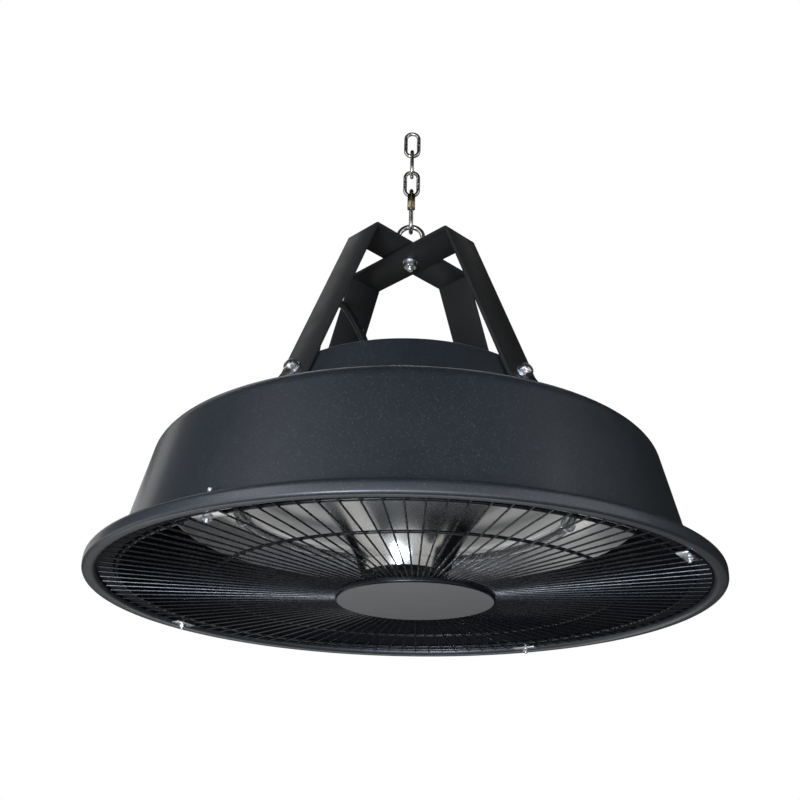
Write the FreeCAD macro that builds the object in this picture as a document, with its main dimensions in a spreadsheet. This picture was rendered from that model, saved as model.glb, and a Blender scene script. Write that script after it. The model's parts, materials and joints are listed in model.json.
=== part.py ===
"""Hanging patio heater: a spun dish with a ring lamp, hung from a chain by two crossing straps.

The origin is the seat of the ceiling hook, inside the crown of the top chain link. Z points up, and
the side that is seen first faces -Y. Levels of the heater are counted up from the underside of its rim.
"""
import FreeCAD, Part
import math
import os
import re
import Sketcher

Vector = FreeCAD.Vector
Rotation = FreeCAD.Rotation

# Driving dimensions in millimetres, degrees or counts
SIZES = [
    ("link_wire", 4.5, "wire of a chain link"),
    ("link_length", 38, "chain link over its ends"),
    ("link_width", 20, "chain link over its sides"),
    ("link_gap", 0.3, "clearance where two links bear on each other"),
    ("quick_wire", 5, "bar of the screw link"),
    ("quick_length", 60, "screw link over its ends"),
    ("quick_width", 21, "screw link over its sides"),
    ("quick_mouth", 7, "gap in the screw link's bar"),
    ("mouth_rise", 10.5, "middle of that gap above the screw link's middle"),
    ("sleeve_length", 20, "threaded sleeve over the gap"),
    ("sleeve_across", 9, "sleeve across its flats"),
    ("sleeve_rise", 8, "middle of the sleeve above the screw link's middle"),
    ("sleeve_gap", 0.05, "radial clearance of the sleeve on the bar"),
    ("eye_outer", 34, "eye ring over its outside"),
    ("eye_wire", 6, "bar of the eye ring"),
    ("eye_collar", 8, "collar between the eye ring and the straps"),
    ("collar_radius", 8, "radius of that collar"),
    ("bolt_diameter", 8, "eye bolt and leg bolts"),
    ("bolt_gap", 0.2, "radial clearance of a bolt in its hole"),
    ("nut_across", 13, "nuts and bolt heads across their flats"),
    ("nut_height", 6.5, "height of a nut"),
    ("head_height", 5, "height of a leg bolt's head"),
    ("dome_height", 3, "dome of a cap nut above its hexagon"),
    ("washer_radius", 8.5, "washers under the nuts"),
    ("washer_thickness", 1.6, "thickness of those washers"),
    ("shank_tail", 4, "end of the eye bolt below its nut"),
    ("bracket_level", 389, "underside of the lower strap at the crossing"),
    ("strap_width", 45, "width of the flat bars"),
    ("strap_thickness", 4, "thickness of the flat bars"),
    ("strap_gap", 0.2, "clearance between a leg and the cap's flank"),
    ("bend_radius", 5, "outside of a strap's bend"),
    ("leg_bolt_level", 193, "where the leg bolts pass the cap's flank"),
    ("foot_length", 14, "leg below its bolt"),
    ("foot_round", 10, "rounded corners of a leg's end"),
    ("sheet", 1.5, "sheet metal of dish and cap"),
    ("cap_top_level", 214, "top of the cap"),
    ("cap_lean", 23.5, "from the cap's base in to its top edge"),
    ("cap_base_radius", 167.5, "cap where it meets the dish"),
    ("cap_lip", 20, "inward lip at the cap's base"),
    ("cap_edge_round", 4, "rounding of the cap's top edge"),
    ("cap_gap", 0.2, "clearance between the cap's lip and the dish"),
    ("cap_screw_diameter", 5, "screws between cap and dish"),
    ("cap_nut_across", 8, "their nuts and heads across flats"),
    ("cap_nut_height", 4, "height of those nuts and heads"),
    ("rim_radius", 308, "outside of the rolled rim"),
    ("rim_height", 14, "rolled rim, bottom to top"),
    ("rim_width", 12.5, "rolled rim, inside to outside"),
    ("rim_round", 3.5, "rounding of the rolled rim"),
    ("rim_slit", 2, "slit where the roll ends"),
    ("flange_level", 9, "top of the flange between wall and rim"),
    ("flange_round", 1, "inside corner of wall and flange"),
    ("flange_width", 13.5, "flange between wall and rolled rim"),
    ("wall_lean", 27.8, "from the wall's foot in to the shoulder"),
    ("shoulder_level", 131.2, "level of that corner"),
    ("shoulder_round", 20, "rounding of the shoulder"),
    ("crown_radius", 130, "hole in the dish's top, under the cap"),
    ("crown_level", 166, "dish's top at that hole"),
    ("pan_sheet", 0.8, "sheet of the reflector"),
    ("pan_inset", 19.2, "reflector's outer edge inside the shoulder"),
    ("pan_edge_level", 75, "level of that edge"),
    ("pan_flare", 23, "from the reflector's edge in to its flat ring"),
    ("pan_level", 110, "reflector's flat ring"),
    ("pan_round", 28, "roundings of the reflector"),
    ("cone_radius", 100, "top of the reflector's cone"),
    ("hub_radius", 47, "foot of the reflector's cone"),
    ("hub_level", 31, "level of that foot"),
    ("hub_floor", 21, "underside of the hub cup"),
    ("hub_floor_radius", 43, "hub cup at its floor"),
    ("hub_depth", 6, "hub cup above the cone's foot"),
    ("hub_gap", 0.3, "clearance between cone and hub cup"),
    ("spacer_radius", 4, "posts between reflector and dish"),
    ("spacer_circle", 185, "radius of the circle they stand on"),
    ("ring_inset", 41, "lamp ring's middle inside the reflector's bend"),
    ("ring_level", 86, "level of the lamp ring"),
    ("tube_radius", 6, "outside of the quartz tube"),
    ("tube_wall", 1, "wall of the quartz tube"),
    ("strand_radius", 4, "carbon strand in the tube"),
    ("ring_opening", 14, "gap between the lamp's ends in degrees"),
    ("end_length", 17, "ceramic end along the ring"),
    ("end_width", 20, "ceramic end across the ring"),
    ("end_gap", 0.2, "clearance of lamp and reflector at a ceramic end"),
    ("clip_wire", 2, "wire of a lamp clip"),
    ("clip_gap", 0.3, "clearance of a lamp clip round the tube"),
    ("lead_diameter", 3, "leads of the lamp"),
    ("block_length", 36, "terminal block"),
    ("block_width", 20, "width of the terminal block"),
    ("block_height", 16, "height of the terminal block"),
    ("wire_count", 109, "radial wires of the guard"),
    ("wire_diameter", 1.7, "their diameter"),
    ("wire_inner_radius", 75, "where they start"),
    ("wire_end_gap", 2.5, "from their ends to the rolled rim"),
    ("wire_inner_level", 1.1, "their middle at the inner end"),
    ("wire_outer_level", 4.2, "their middle at the outer end"),
    ("weld_gap", 0.05, "between a ring and the wires under it"),
    ("mid_ring_radius", 201, "ring on the guard's upper side"),
    ("mid_ring_wire", 3, "wire of that ring"),
    ("outer_ring_inset", 5, "ring near the guard's edge, inside the wall's foot"),
    ("outer_ring_wire", 3.5, "wire of that ring"),
    ("disc_radius", 79, "plate in the guard's middle"),
    ("disc_depth", 4.9, "depth of that plate's edge"),
    ("disc_sheet", 1.2, "sheet of that plate"),
    ("disc_round", 2.5, "rounding of that plate's edge"),
    ("guard_shift", 11, "how far the guard's hub lies to +X"),
    ("clip_angle", 58, "degrees from +X to the first rim clip, before it goes to the nearest gap"),
    ("rim_clip_length", 28, "rim clip along the rim"),
    ("rim_clip_width", 11, "rim clip across the rim"),
    ("rim_clip_inset", 2, "middle of a rim clip inside its screw"),
    ("rim_clip_sheet", 1.8, "thickness of a rim clip"),
    ("rim_clip_gap", 0.45, "clearance between rim clip and wires"),
    ("rim_screw_inset", 7, "rim clips' screws inside the rolled rim"),
    ("rim_screw_diameter", 4, "those screws"),
    ("rim_screw_length", 23, "those screws below the head"),
    ("rim_head_radius", 4, "heads of those screws"),
    ("rim_head_height", 2.4, "height of those heads"),
    ("rim_nut_across", 7, "nuts of those screws"),
    ("rim_nut_height", 3.2, "height of those nuts"),
    ("rim_spacer_radius", 2.9, "spacers on those screws"),
    ("thread_gap", 0.1, "radial clearance of a nut on its thread"),
    ("gland_x", -41, "cable gland, to the right of the axis"),
    ("gland_y", -5, "cable gland, behind the axis"),
    ("gland_radius", 10, "thread of the gland"),
    ("gland_across", 24, "gland across its flats"),
    ("gland_base", 6, "hexagon of the gland"),
    ("gland_nut_height", 9, "cap of the gland"),
    ("gland_boot", 20, "rubber sleeve on top of the gland"),
    ("gland_depth", 9, "thread below the cap's top"),
    ("locknut_height", 5, "nut under the cap's top"),
    ("cord_diameter", 9, "power cord"),
    ("cord_gap", 0.1, "clearance of the cord in the gland"),
    ("coil_x", 12, "middle of the cord's coil"),
    ("coil_y", 62, "middle of the cord's coil"),
    ("coil_radius", 60, "outermost turn, middle of the cord"),
    ("turn_pitch", 11, "from turn to turn"),
    ("layer_pitch", 9.8, "from layer to layer"),
    ("coil_turns", 1.875, "turns of each layer's spiral"),
    ("coil_tail", 30, "straight end towards the plug"),
    ("tie_sheet", 0.7, "thickness of the coil's tie"),
    ("tie_width", 6, "width of the coil's tie"),
    ("tie_gap", 0.3, "clearance round the tie"),
    ("plug_radius", 19, "body of the plug"),
    ("plug_height", 24, "height of the plug"),
    ("plug_round", 4, "rounding of the plug's edges"),
    ("plug_boot", 28, "sleeve on the plug's side"),
    ("plug_boot_radius", 5.4, "that sleeve at the plug"),
    ("pin_diameter", 4.8, "plug pins"),
    ("pin_length", 19, "length of the plug pins"),
    ("pin_spacing", 19, "from pin to pin"),
]

# Free stretch of the cord from the gland to the coil: points above the rim's underside
CORD_ROUTE = [
    (-41, -5, 249),
    (-41, -5, 287),
    (-72, 11, 327),
    (-92, 39, 338),
    (-112, 73, 328),
    (-118, 112, 300),
    (-88, 135, 262),
    (-42, 122, 229.6),
    (3, 122, 229.6),
]
ARC_SHARE = 0.45
QUARTERS = (45, 135, 225, 315)
CROSS = (0, 90, 180, 270)

doc = FreeCAD.newDocument("patio_heater")
sizes = doc.addObject("Spreadsheet::Sheet", "sizes")
for row, (alias, value, note) in enumerate(SIZES, start=1):
    sizes.set(f"A{row}", note)
    sizes.set(f"B{row}", str(value))
    sizes.setAlias(f"B{row}", alias)
doc.recompute()
ALIASES = {alias for alias, value, note in SIZES}


def formula(text):
    """Let the names of sizes in a formula point at the sheet."""
    return re.sub(r"[a-z_]+", lambda word: "sizes." + word[0] if word[0] in ALIASES else word[0], str(text))


def measure(text):
    """The value of a formula in the sheet's sizes."""
    result = sizes.evalExpression(formula(text))
    return float(getattr(result, "Value", result))


# Radii, levels and slopes that follow from the driving dimensions
ROLL_RADIUS = "(rim_radius - rim_width)"
WALL_FOOT = f"({ROLL_RADIUS} - flange_width)"
SHOULDER = f"({WALL_FOOT} - wall_lean)"
PAN_RADIUS = f"({SHOULDER} - pan_inset)"
PAN_BEND = f"({PAN_RADIUS} - pan_flare)"
RING_RADIUS = f"({PAN_BEND} - ring_inset)"
RIM_SCREW_CIRCLE = f"({ROLL_RADIUS} - rim_screw_inset)"
WIRE_END = f"({ROLL_RADIUS} - wire_end_gap)"
OUTER_RING = f"({WALL_FOOT} - outer_ring_inset)"
LINK_STEP = "(link_length - 2 * link_wire - link_gap)"
QUICK_SEAT = f"(-3 * {LINK_STEP})"
QUICK_MIDDLE = f"({QUICK_SEAT} + quick_wire - quick_length / 2)"
EYE_SEAT = f"({QUICK_SEAT} - quick_length + 2 * quick_wire + link_gap)"
EYE_MIDDLE = f"({EYE_SEAT} - eye_outer / 2 + eye_wire)"
STRAP_TOP = f"({EYE_MIDDLE} - eye_outer / 2 - eye_collar)"
RIM = f"({STRAP_TOP} - 2 * strap_thickness - bracket_level)"
TOP_SLOPE = f"((crown_level - shoulder_level) / ({SHOULDER} - crown_radius))"
CAP_BASE = f"(shoulder_level + ({SHOULDER} - cap_base_radius) * {TOP_SLOPE} + cap_gap)"
CAP_TOP = "(cap_base_radius - cap_lean)"
FLANK = f"(cap_lean / (cap_top_level - {CAP_BASE}))"
FLANK_LENGTH = f"sqrt(1 + {FLANK} * {FLANK})"
WIRE_SLOPE = f"((wire_outer_level - wire_inner_level) / ({WIRE_END} - wire_inner_radius))"
RIM_CLIP_TOP = "(wire_outer_level - wire_diameter / 2 - rim_clip_gap)"
COIL_LOW = "(cap_top_level + 2 * tie_gap + tie_sheet + cord_diameter / 2)"
COIL_HIGH = f"({COIL_LOW} + layer_pitch)"
HEX_CORNER = 1 / math.cos(math.pi / 6)


def bind(item, **formulas):
    """Set an object's properties by formulas; a dot in a property's name is written as two underscores."""
    for name, text in formulas.items():
        item.setExpression(name.replace("__", "."), formula(text))
    return item


def place(item, x="0", y="0", z="0", axis=None, angle=0):
    """Turn an object about an axis and move it to a place given by formulas."""
    if axis:
        item.Placement = FreeCAD.Placement(Vector(), Rotation(Vector(*axis), angle))
    return bind(item, Placement__Base__x=x, Placement__Base__y=y, Placement__Base__z=z)


def solid(kind, x="0", y="0", z="0", axis=None, angle=0, **formulas):
    """A Part primitive whose sizes and place are formulas."""
    item = doc.addObject("Part::" + kind, kind.lower())
    bind(item, **formulas)
    return place(item, x, y, z, axis, angle)


def hexagon(across, height, x="0", y="0", z="0"):
    """A six-sided prism by the distance across its flats."""
    item = solid("Prism", x, y, z, Circumradius=f"{across} / 2 * {HEX_CORNER}", Height=height)
    item.Polygon = 6
    return item


def fuse(*items, label=None):
    item = doc.addObject("Part::MultiFuse", label or "fused")
    item.Shapes = list(items)
    return item


def cut(base, *tools, label=None):
    item = doc.addObject("Part::Cut", label or "cut")
    item.Base = base
    item.Tool = tools[0] if len(tools) == 1 else fuse(*tools)
    return item


def group(label, shapes):
    """One node of separate solids that are alike."""
    item = doc.addObject("Part::Feature", label)
    item.Shape = Part.makeCompound(shapes)
    return item


def copies(piece, placements):
    """Copies of a piece's shape, each moved by one of the placements."""
    doc.recompute()
    result = []
    for placement in placements:
        shape = piece.Shape.copy()
        shape.Placement = placement.multiply(shape.Placement)
        result.append(shape)
    return result


def round_about(radius, level, angles, tilt=0):
    """Placements on a circle about the axis, with Z leaning outwards by tilt."""
    result = []
    for angle in angles:
        turn = Rotation(Vector(0, 0, 1), angle)
        lean = Rotation(Vector(0, 1, 0), tilt)
        spot = turn.multVec(Vector(radius, 0, level))
        result.append(FreeCAD.Placement(spot, turn.multiply(lean)))
    return result


def drawn(body, plane, points):
    """A closed sketch of straight lines whose corners are pairs of formulas."""
    sketch = body.newObject("Sketcher::SketchObject", "profile")
    support = [item for item in body.Origin.OriginFeatures if item.Role == plane]
    sketch.AttachmentSupport = [(support[0], "")]
    sketch.MapMode = "FlatFace"
    spots = [Vector(measure(x), measure(y), 0) for x, y in points]
    count = len(points)
    for index in range(count):
        sketch.addGeometry(Part.LineSegment(spots[index], spots[(index + 1) % count]), False)
    for index in range(count):
        sketch.addConstraint(Sketcher.Constraint("Coincident", index, 2, (index + 1) % count, 1))
    for index, corner in enumerate(points):
        for kind, axis, text, distance in zip(("DistanceX", "DistanceY"), (-2, -1), corner, spots[index]):
            if text == "0":
                sketch.addConstraint(Sketcher.Constraint("PointOnObject", index, 1, axis))
            else:
                rule = sketch.addConstraint(Sketcher.Constraint(kind, -1, 1, index, 1, distance))
                sketch.setExpression(f"Constraints[{rule}]", formula(text))
    return sketch


def rounded(body, edges, radius):
    """Round the edges of a body's last feature that a test picks."""
    doc.recompute()
    last = body.Tip
    names = [f"Edge{index}" for index, edge in enumerate(last.Shape.Edges, start=1) if edges(edge)]
    fillet = body.newObject("PartDesign::Fillet", "rounding")
    fillet.Base = (last, names)
    return bind(fillet, Radius=radius)


def turned(label, points, roundings=()):
    """A body turned about Z from its half section; roundings are (corner numbers, radius)."""
    body = doc.addObject("PartDesign::Body", label)
    sketch = drawn(body, "XZ_Plane", points)
    turn = body.newObject("PartDesign::Revolution", "turned")
    turn.Profile = sketch
    turn.ReferenceAxis = (sketch, ["V_Axis"])
    turn.Angle = 360
    for corners, radius in roundings:
        circles = [(measure(points[corner][0]), measure(points[corner][1])) for corner in corners]

        def at_corner(edge):
            spot = edge.Vertexes[0].Point
            reach = math.hypot(spot.x, spot.y)
            return any(math.hypot(reach - r, spot.z - z) < 1e-4 for r, z in circles) and edge.Closed

        rounded(body, at_corner, radius)
    return body


def finish(item, label, x="0", y="0", z=RIM, axis=None, angle=0):
    """Name a sub-part and put it in its place."""
    item.Label = label
    place(item, x, y, z, axis, angle)
    NODES.append(item)
    return item


def finish_group(label, shapes, x="0", z=RIM):
    """Name a group of like solids and put it in its place."""
    item = group(label, shapes)
    item.Placement = FreeCAD.Placement(Vector(measure(x), 0, measure(z)), Rotation())
    NODES.append(item)
    return item


NODES = []


def chain_link(label, middle, facing):
    """A welded link: two straight sides and two half rings, its middle at a given level."""
    half_ring = "(link_width - link_wire) / 2"
    side = f"(link_length - link_width)"
    bars = []
    for way in (1, -1):
        bars.append(solid("Cylinder", x=f"{way} * {half_ring}", z=f"-{side} / 2",
                          Radius="link_wire / 2", Height=side))
        end = solid("Torus", z=f"{way} * {side} / 2", axis=(1, 0, 0), angle=90,
                    Radius1=half_ring, Radius2="link_wire / 2", Angle3="180")
        if way < 0:
            end.Placement.Rotation = Rotation(Vector(1, 0, 0), -90)
        bars.append(end)
    return finish(fuse(*bars), label, z=middle, axis=(0, 0, 1), angle=facing)


def quick_link():
    """A screw link: a bent bar with a gap in its front side, and the sleeve that closes the gap."""
    half_ring = "(quick_width - quick_wire) / 2"
    side = "(quick_length - quick_width)"
    low = f"({side} / 2 + mouth_rise - quick_mouth / 2)"
    high = f"({side} / 2 - mouth_rise - quick_mouth / 2)"
    bars = [
        solid("Cylinder", y=half_ring, z=f"-{side} / 2", Radius="quick_wire / 2", Height=side),
        solid("Cylinder", y=f"-{half_ring}", z=f"-{side} / 2", Radius="quick_wire / 2", Height=low),
        solid("Cylinder", y=f"-{half_ring}", z="mouth_rise + quick_mouth / 2",
              Radius="quick_wire / 2", Height=high),
    ]
    for way in (1, -1):
        end = solid("Torus", z=f"{way} * {side} / 2", axis=(1, 0, 0), angle=90,
                    Radius1=half_ring, Radius2="quick_wire / 2", Angle3="180")
        upright = Rotation(Vector(0, 0, 1), 90).multiply(Rotation(Vector(1, 0, 0), 90 * way))
        end.Placement.Rotation = upright
        bars.append(end)
    finish(fuse(*bars), "quick_link_body", z=QUICK_MIDDLE)
    sleeve = cut(hexagon("sleeve_across", "sleeve_length"),
                 solid("Cylinder", Radius="quick_wire / 2 + sleeve_gap", Height="sleeve_length"))
    finish(sleeve, "quick_link_sleeve", y=f"-{half_ring}",
           z=f"{QUICK_MIDDLE} + sleeve_rise - sleeve_length / 2", axis=(0, 0, 1), angle=30)


def eye_bolt():
    """The eye bolt through both straps, with its washer and nut under the crossing."""
    under = "(-eye_outer / 2 - eye_collar - 2 * strap_thickness)"
    washer_foot = f"({under} - washer_thickness)"
    nut_foot = f"({washer_foot} - nut_height)"
    tip = f"({nut_foot} - shank_tail)"
    ring = solid("Torus", axis=(1, 0, 0), angle=90, Radius1="(eye_outer - eye_wire) / 2",
                 Radius2="eye_wire / 2")
    collar = solid("Cylinder", z="-eye_outer / 2 - eye_collar", Radius="collar_radius",
                   Height="eye_collar + eye_wire / 4")
    shank = solid("Cylinder", z=tip, Radius="bolt_diameter / 2", Height=f"-eye_outer / 2 - {tip}")
    finish(fuse(ring, collar, shank), "eye_bolt", z=EYE_MIDDLE)
    hole = "bolt_diameter / 2 + thread_gap"
    washer = cut(solid("Cylinder", Radius="washer_radius", Height="washer_thickness"),
                 solid("Cylinder", Radius="bolt_diameter / 2 + bolt_gap", Height="washer_thickness"))
    finish(washer, "eye_washer", z=f"{EYE_MIDDLE} + {washer_foot}")
    nut = cut(hexagon("nut_across", "nut_height"), solid("Cylinder", Radius=hole, Height="nut_height"))
    finish(nut, "eye_nut", z=f"{EYE_MIDDLE} + {nut_foot}")


def leg_reach(level):
    """Radius of a leg's inner face at a level, which follows the cap's flank."""
    return f"({CAP_TOP} + strap_gap + (cap_top_level - ({level})) * {FLANK})"


def leg_bolt_holes():
    """Two holes for the leg bolts of one strap, square to the cap's flank."""
    tilt = 90 - math.degrees(math.atan(measure(FLANK)))
    holes = []
    for way in (1, -1):
        hole = solid("Cylinder", axis=(0, 1, 0), angle=way * tilt, z="leg_bolt_level",
                     x=f"{way} * ({CAP_TOP} + (cap_top_level - leg_bolt_level) * {FLANK})",
                     Radius="bolt_diameter / 2 + bolt_gap", Height="4 * strap_thickness")
        holes.append(hole)
    return holes


def strap(label, underside, turn):
    """A flat bar bent to an arch whose legs lie on the cap's flank."""
    top = f"({underside} + strap_thickness)"
    foot = f"(leg_bolt_level - foot_length / {FLANK_LENGTH})"
    across = f"strap_thickness / {FLANK_LENGTH}"
    outer_top = f"({leg_reach(top)} + strap_thickness * {FLANK_LENGTH})"
    points = [
        ("0", underside),
        (leg_reach(underside), underside),
        (leg_reach(foot), foot),
        (f"{leg_reach(foot)} + {across}", f"{foot} + {across} * {FLANK}"),
        (outer_top, top),
        ("0", top),
    ]
    body = doc.addObject("PartDesign::Body", label + "_bar")
    pad = body.newObject("PartDesign::Pad", "bar")
    pad.Profile = drawn(body, "XZ_Plane", points)
    pad.Midplane = True
    bind(pad, Length="strap_width")
    doc.recompute()
    mirror = body.newObject("PartDesign::Mirrored", "both_legs")
    mirror.Originals = [pad]
    plane = [item for item in body.Origin.OriginFeatures if item.Role == "YZ_Plane"][0]
    mirror.MirrorPlane = (plane, [""])
    body.Tip = mirror
    bend = Vector(measure(outer_top), 0, measure(top))
    toe = Vector(measure(points[2][0]), measure("strap_width / 2"), measure(foot))

    def outer_bend(edge):
        middle = edge.CenterOfMass
        return math.hypot(abs(middle.x) - bend.x, middle.z - bend.z) < 1e-3 and abs(middle.y) < 1e-3

    def toe_corner(edge):
        middle = edge.CenterOfMass
        spot = Vector(abs(middle.x), abs(middle.y), middle.z)
        return spot.distanceToPoint(toe) < measure("strap_thickness")

    rounded(body, outer_bend, "bend_radius")
    rounded(body, toe_corner, "foot_round")
    eye_hole = solid("Cylinder", z=underside, Radius="bolt_diameter / 2 + bolt_gap",
                     Height="strap_thickness")
    finish(cut(body, eye_hole, *leg_bolt_holes()), label, axis=(0, 0, 1), angle=turn)


def leg_fasteners():
    """Bolt, washer and domed cap nut at each leg, on axes square to the cap's flank."""
    inside = "(sheet + 2 * cap_gap)"
    outside = "(strap_gap + strap_thickness)"
    seat = f"({outside} + washer_thickness)"
    bolt = fuse(hexagon("nut_across", "head_height", z=f"-{inside} - head_height"),
                solid("Cylinder", z=f"-{inside}", Radius="bolt_diameter / 2",
                      Height=f"{inside} + {seat} + nut_height"))
    washer = cut(solid("Cylinder", z=outside, Radius="washer_radius", Height="washer_thickness"),
                 solid("Cylinder", z=outside, Radius="bolt_diameter / 2 + bolt_gap",
                       Height="washer_thickness"))
    dome = solid("Ellipsoid", z=f"{seat} + nut_height", Radius1="dome_height",
                 Radius2="nut_across / 2 - 0.5 * bolt_gap", Radius3="nut_across / 2 - 0.5 * bolt_gap",
                 Angle1="0")
    nut = cut(fuse(hexagon("nut_across", "nut_height", z=seat), dome),
              solid("Cylinder", z=seat, Radius="bolt_diameter / 2 + thread_gap",
                    Height="nut_height + thread_gap"))
    radius = measure(f"{CAP_TOP} + (cap_top_level - leg_bolt_level) * {FLANK}")
    tilt = 90 - math.degrees(math.atan(measure(FLANK)))
    spots = round_about(radius, measure("leg_bolt_level"), QUARTERS, tilt)
    finish_group("leg_bolts", copies(bolt, spots))
    finish_group("leg_washers", copies(washer, spots))
    finish_group("leg_cap_nuts", copies(nut, spots))


def cap_screw_spots():
    """Four places on the cap's lip, with Z square to the dish's top."""
    circle = "(cap_base_radius - 0.6 * cap_lip)"
    level = f"shoulder_level + ({SHOULDER} - {circle}) * {TOP_SLOPE}"
    tilt = math.degrees(math.atan(measure(TOP_SLOPE)))
    return round_about(measure(circle), measure(level), CROSS, tilt)


def top_cap():
    """The conical cap: flat top, slanted flank that the legs lie on, and an inward lip on the dish."""
    lip_radius = "(cap_base_radius - cap_lip)"
    lip_level = f"({CAP_BASE} + cap_lip * {TOP_SLOPE})"
    inset = f"(sheet * ({FLANK_LENGTH} + {FLANK}) / (1 - {TOP_SLOPE} * {FLANK}))"
    points = [
        ("0", "cap_top_level"),
        (CAP_TOP, "cap_top_level"),
        ("cap_base_radius", CAP_BASE),
        (lip_radius, lip_level),
        (lip_radius, f"{lip_level} + sheet"),
        (f"cap_base_radius - {inset}", f"{CAP_BASE} + sheet + {inset} * {TOP_SLOPE}"),
        (f"{CAP_TOP} + sheet * {FLANK} - sheet * {FLANK_LENGTH}", "cap_top_level - sheet"),
        ("0", "cap_top_level - sheet"),
    ]
    shell = turned("cap_shell", points, [((1,), "cap_edge_round"), ((6,), "cap_edge_round - sheet")])
    gland_hole = solid("Cylinder", x="gland_x", y="gland_y", z="cap_top_level - 2 * sheet",
                       Radius="gland_radius + bolt_gap", Height="3 * sheet")
    leg_hole = solid("Cylinder", z="-4 * sheet", Radius="bolt_diameter / 2 + bolt_gap",
                     Height="8 * sheet")
    screw_hole = solid("Cylinder", z="-4 * sheet", Radius="cap_screw_diameter / 2 + bolt_gap",
                       Height="8 * sheet")
    radius = measure(f"{CAP_TOP} + (cap_top_level - leg_bolt_level) * {FLANK}")
    tilt = 90 - math.degrees(math.atan(measure(FLANK)))
    leg_spots = round_about(radius, measure("leg_bolt_level"), QUARTERS, tilt)
    holes = group("cap_holes", copies(leg_hole, leg_spots) + copies(screw_hole, cap_screw_spots()))
    finish(cut(cut(shell, gland_hole), holes), "top_cap")


def cap_fasteners():
    """Screws up through the dish's top and the cap's lip, with nuts inside the cap."""
    slope_length = f"sqrt(1 + {TOP_SLOPE} * {TOP_SLOPE})"
    under = "(sheet + cap_gap)"
    over = f"((sheet + cap_gap) / {slope_length} + cap_gap)"
    screw = fuse(hexagon("cap_nut_across", "cap_nut_height", z=f"-{under} - cap_nut_height"),
                 solid("Cylinder", z=f"-{under}", Radius="cap_screw_diameter / 2",
                       Height=f"{under} + {over} + 1.5 * cap_nut_height"))
    nut = cut(hexagon("cap_nut_across", "cap_nut_height", z=over),
              solid("Cylinder", z=over, Radius="cap_screw_diameter / 2 + thread_gap",
                    Height="cap_nut_height"))
    finish_group("cap_screws", copies(screw, cap_screw_spots()))
    finish_group("cap_nuts", copies(nut, cap_screw_spots()))


def dish():
    """The spun shade: top, rounded shoulder, slanted wall, flange and a rolled rim with a slit."""
    points = [
        ("crown_radius", "crown_level"),
        (SHOULDER, "shoulder_level"),
        (WALL_FOOT, "flange_level"),
        (ROLL_RADIUS, "flange_level"),
        (ROLL_RADIUS, "rim_height"),
        ("rim_radius", "rim_height"),
        ("rim_radius", "0"),
        (ROLL_RADIUS, "0"),
        (ROLL_RADIUS, "flange_level - sheet - rim_slit"),
        (f"{ROLL_RADIUS} + sheet", "flange_level - sheet - rim_slit"),
        (f"{ROLL_RADIUS} + sheet", "sheet"),
        ("rim_radius - sheet", "sheet"),
        ("rim_radius - sheet", "rim_height - sheet"),
        (f"{ROLL_RADIUS} + sheet", "rim_height - sheet"),
        (f"{ROLL_RADIUS} + sheet", "flange_level - sheet"),
        (f"{WALL_FOOT} - sheet", "flange_level - sheet"),
        (f"{SHOULDER} - sheet", "shoulder_level - sheet"),
        ("crown_radius", "crown_level - sheet"),
    ]
    roundings = [
        ((1,), "shoulder_round"),
        ((16,), "shoulder_round - sheet"),
        ((2,), "flange_round"),
        ((4, 5, 6, 7), "rim_round"),
        ((10, 11, 12, 13), "rim_round - sheet"),
    ]
    shell = turned("dish_shell", points, roundings)
    rim_hole = solid("Cylinder", z="flange_level - 2 * sheet", Radius="rim_screw_diameter / 2 + bolt_gap",
                     Height="3 * sheet")
    cap_hole = solid("Cylinder", z="-4 * sheet", Radius="cap_screw_diameter / 2 + bolt_gap",
                     Height="8 * sheet")
    spots = round_about(measure(RIM_SCREW_CIRCLE), 0, rim_clip_angles())
    holes = group("dish_holes", copies(rim_hole, spots) + copies(cap_hole, cap_screw_spots()))
    finish(cut(shell, holes), "dish")


def reflector():
    """The polished pan with its cone, the hub cup at the cone's foot and the posts that carry the pan."""
    pan_points = [
        (PAN_RADIUS, "pan_edge_level"),
        (PAN_BEND, "pan_level"),
        ("cone_radius", "pan_level"),
        ("hub_radius", "hub_level"),
        ("hub_radius - pan_sheet", "hub_level"),
        ("cone_radius - pan_sheet", "pan_level + pan_sheet"),
        (f"{PAN_BEND} + pan_sheet", "pan_level + pan_sheet"),
        (f"{PAN_RADIUS} + pan_sheet", "pan_edge_level"),
    ]
    roundings = [((1, 2), "pan_round"), ((5, 6), "pan_round + pan_sheet")]
    pan = turned("pan_shell", pan_points, roundings)
    lead_hole = solid("Cylinder", z="pan_level - 5 * pan_sheet", Radius="lead_diameter / 2 + end_gap",
                      Height="10 * pan_sheet")
    finish(cut(pan, group("pan_holes", copies(lead_hole, lamp_end_spots("0")))), "reflector_pan")
    cup_top = "(hub_level + hub_depth)"
    neck = "(hub_radius - pan_sheet - hub_gap)"
    lean = f"(({neck} - hub_floor_radius) / (hub_level - hub_floor))"
    mouth = f"({neck} + hub_depth * {lean})"
    cup_points = [
        ("0", "hub_floor"),
        ("hub_floor_radius", "hub_floor"),
        (mouth, cup_top),
        (f"{mouth} - pan_sheet", cup_top),
        ("hub_floor_radius - pan_sheet", "hub_floor + pan_sheet"),
        ("0", "hub_floor + pan_sheet"),
    ]
    finish(turned("reflector_hub", cup_points), "reflector_hub")
    foot = "(pan_level + pan_sheet + end_gap)"
    reach = "(sheet + spacer_circle + spacer_radius)"
    head = f"(shoulder_level - sheet + ({SHOULDER} - {reach}) * {TOP_SLOPE})"
    post = solid("Cylinder", z=foot, Radius="spacer_radius", Height=f"{head} - {foot} - end_gap")
    finish_group("reflector_posts", copies(post, round_about(measure("spacer_circle"), 0, QUARTERS)))


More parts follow.
